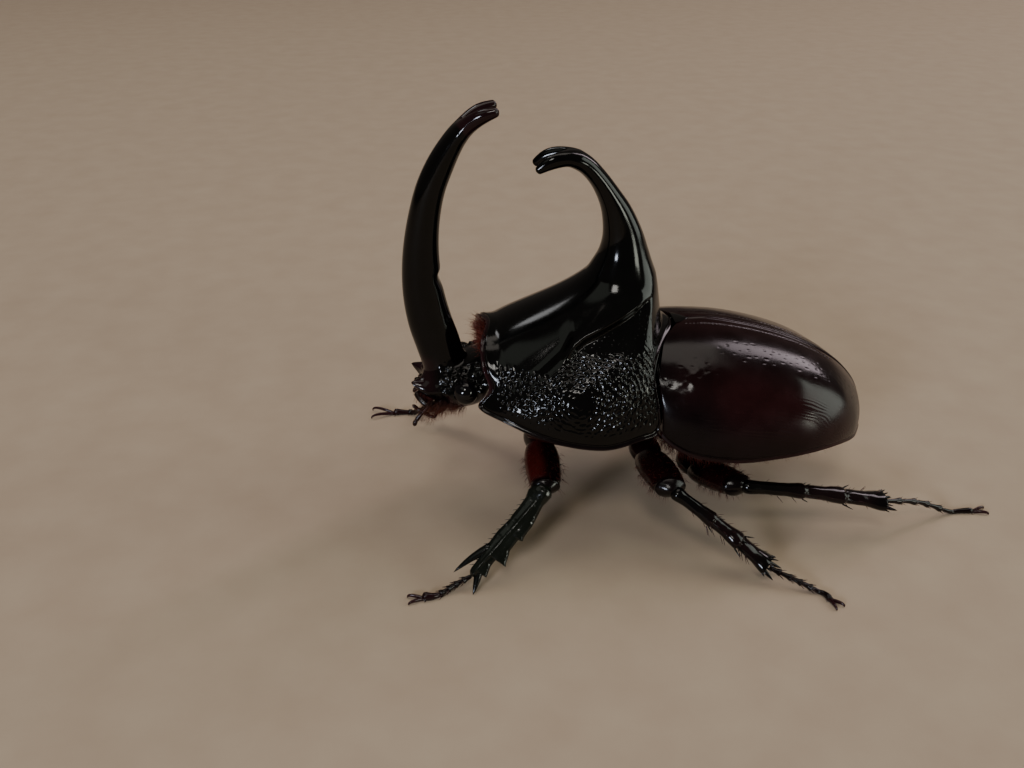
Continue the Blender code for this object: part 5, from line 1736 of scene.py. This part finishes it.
# %% Hair of the mouth and neck
SHORT_HAIR, FINE_HAIR, THICK_HAIR = 0.020, 0.022, 0.026    # radii
rng = np.random.default_rng(5)
brush_roots = np.array([
    (-8.9 + 3.9 * a, sign * (1.2 + 2.6 * b), 12.9 + 1.17 * b + 0.3 * c)
    for a, b, c in rng.random((70, 3)) for _, sign in SIDES
])
brush_ways = np.array([(-0.7, 0.5 * np.sign(p[1]), -0.9) for p in brush_roots])
brush_length = 1.4 + 0.6 * ramp(-brush_roots[:, 0], 6.5, 8.5)
coat("mouth_brush", brush_roots, brush_ways, brush_length, FINE_HAIR, GOLD_HAIR, seed=101, per_tuft=14)
lip_roots = np.array([(-10.0, -2.2, 14.3)]) + rng.random((70, 3)) * (1.5, 4.4, 0.4)
lip_ways = np.array([(-0.2, 0.1 * p[1], -1.0) for p in lip_roots])
coat("lip_fringe", lip_roots, lip_ways, 1.2, THICK_HAIR, RED_HAIR, seed=103, per_tuft=14)
neck_roots = np.array([(-3.1, -3.0, 19.2)]) + rng.random((80, 3)) * (0.9, 6.0, 1.2)
neck_ways = np.array([(-0.75, 0.1 * p[1], 0.7) for p in neck_roots])
coat("neck_fringe", neck_roots, neck_ways, 1.7, THICK_HAIR, RED_HAIR, seed=102, per_tuft=16)

# %% [markdown]
# ## Hair of the thighs and underside
# In life this hair stands in the pits of the skin. Its roots are scattered over coarser grids of the
# same shapes. It leans towards the knee on a thigh, and backwards on the breast and the belly.

# %% Hair of the thighs and underside
HAIRY_PART = (0.25, 0.85)
for place, leg in LEGS.items():
    grid = thigh_shape(leg, rings=40, sides=24)
    along = np.linspace(0, 1, 40)[:, None] * np.ones((1, 24))
    hairy = (along > HAIRY_PART[0]) * (along < HAIRY_PART[1]) * 1.0
    roots, ways = roots_on(grid, hairy, gap=0.7, seed=111)
    lean = unit(leg["knee"] - leg["hip"]) * 0.7 + (0, 0, -0.3)
    ways = ways * 0.8 + lean
    coat(f"thigh_hair_{place}", roots, ways, 0.75, SHORT_HAIR, RED_HAIR, seed=112, per_tuft=5)
grid = trunk_grid(METATHORAX, rings=40, sides=60)
hairy = (grid[..., 2] < 10.5) * 1.0
roots, ways = roots_on(grid, hairy, gap=0.75, seed=121)
ways = ways + (0.5, 0, -0.2)
coat("breast_hair", roots, ways, 1.1, FINE_HAIR, RED_HAIR, seed=122, per_tuft=7)
grid = trunk_grid(ABDOMEN, rings=40, sides=60)
hairy = (grid[..., 2] < 11.0) * ramp(grid[..., 0], 24, 30)
roots, ways = roots_on(grid, hairy, gap=0.8, seed=123)
ways = ways * 0.6 + (0.8, 0, -0.2)
coat("belly_hair", roots, ways, 0.8, SHORT_HAIR, RED_HAIR, seed=124, per_tuft=6)

# %% [markdown]
# ## Floor
# A plain board lies under the beetle, far wider than the camera sees. It is matt, with a faint fibre,
# so that shadows fall on it softly and nothing mirrors in it. A curved backdrop would hide its far
# edge, but at this angle the camera sees floor alone.

# %% Floor
HALF_FLOOR = 12.0                 # metres
FIBRE_MM = 6.0
FIBRE_DEPTH_MM = 0.2


def floor_finish():
    """Pale matt board: soft shadows and no mirror image."""
    surface, tree, shader = finish_named("pale matt board")
    place = node(tree, "TexCoord").outputs["Object"]
    fibre = node(tree, "TexNoise", {"Vector": place, "Scale": per_metre(FIBRE_MM), "Detail": 5.0})
    colours = {0: fibre.outputs["Fac"], COLOUR_A: linear("#978470"), COLOUR_B: linear("#a69580")}
    tone = node(tree, "Mix", colours, data_type="RGBA")
    relief = {"Height": fibre.outputs["Fac"], "Strength": 0.1, "Distance": FIBRE_DEPTH_MM * MM}
    grit = node(tree, "Bump", relief)
    tree.links.new(tone.outputs[COLOUR_OUT], shader.inputs["Base Color"])
    tree.links.new(grit.outputs[0], shader.inputs["Normal"])
    shader.inputs["Roughness"].default_value = 0.85
    return surface


floor_mesh = bpy.data.meshes.new("floor")
floor_corners = [(HALF_FLOOR * a, HALF_FLOOR * b, 0) for a, b in ((-1, -1), (1, -1), (1, 1), (-1, 1))]
floor_mesh.from_pydata(floor_corners, [], [(0, 1, 2, 3)])
floor_mesh.materials.append(floor_finish())
floor = bpy.data.objects.new("floor", floor_mesh)
bpy.context.scene.collection.objects.link(floor)
print("floor", 2 * HALF_FLOOR, "metres wide")

# %% [markdown]
# ## Lamps
# Gloss shows nothing but what stands round it, so each lamp is put where its reflection belongs. The
# wide overhead one lights the whole back softly, and the small key draws the shadows. Two windows lie
# low at the side and the rear and fill the flank and the tip of the wing cases, and the tall one
# behind draws the band over them. The small bright one in front makes sparks in the pits, on the legs
# and on the eye, and the two at the slope light the front of the shield.
# One picture of a studio wrapped round the scene would be simpler, but its parts couldn't be moved.

# %% Lamps
LIT_PLACE = (10, 0, 14)           # what the lamps face: the middle of the body


def softbox(name, turn, height, away, size, radiance, colour):
    """A lamp that faces the beetle from this compass turn and height in degrees."""
    turn, height = math.radians(turn), math.radians(height)
    level = math.cos(height)
    place = np.array((level * math.cos(turn), level * math.sin(turn), math.sin(height)))
    light = bpy.data.lights.new(name, "AREA")
    light.shape = "RECTANGLE"
    light.size, light.size_y = size
    light.energy = radiance * math.pi * size[0] * size[1]
    light.color = linear(colour)[:3]
    lamp = bpy.data.objects.new(name, light)
    lamp.location = place * away + HOME + np.array(LIT_PLACE) * MM
    lamp.rotation_euler = Vector(-place).to_track_quat("-Z", "Y").to_euler()
    bpy.context.scene.collection.objects.link(lamp)
    print(name, "watts", round(light.energy, 2))


# Turn and height in degrees, distance and size in metres, radiance and colour.
LAMPS = (
    ("overhead", 85, 80, 1.3, (1.0, 0.6), 2.1, "#fff4e8"),
    ("key", -105, 52, 1.0, (0.2, 0.2), 16.0, "#fffaf2"),
    ("side window", -40, 12, 1.0, (0.24, 0.2), 13.0, "#f4f8e8"),
    ("rear window", -2, 24, 1.0, (0.5, 0.72), 3.8, "#edf6ea"),
    ("behind", 37, 40, 1.0, (0.17, 0.7), 7.0, "#f6e4ea"),
    ("front lamp", -125, 18, 1.0, (0.17, 0.17), 62.0, "#e6eeff"),
    ("slope lamp", 127, 56, 1.0, (0.24, 0.16), 7.0, "#ffffff"),
    ("slope fill", -150, 55, 1.0, (0.5, 0.3), 0.75, "#e4ecdc"),
)
for lamp_row in LAMPS:
    softbox(*lamp_row)

# %% Room light
ROOM_LIGHT = 0.24
world = bpy.data.worlds.new("room")
world.use_nodes = True
background = world.node_tree.nodes["Background"]
background.inputs["Color"].default_value = linear("#a89c92")
background.inputs["Strength"].default_value = ROOM_LIGHT
bpy.context.scene.world = world
print("room light", ROOM_LIGHT)
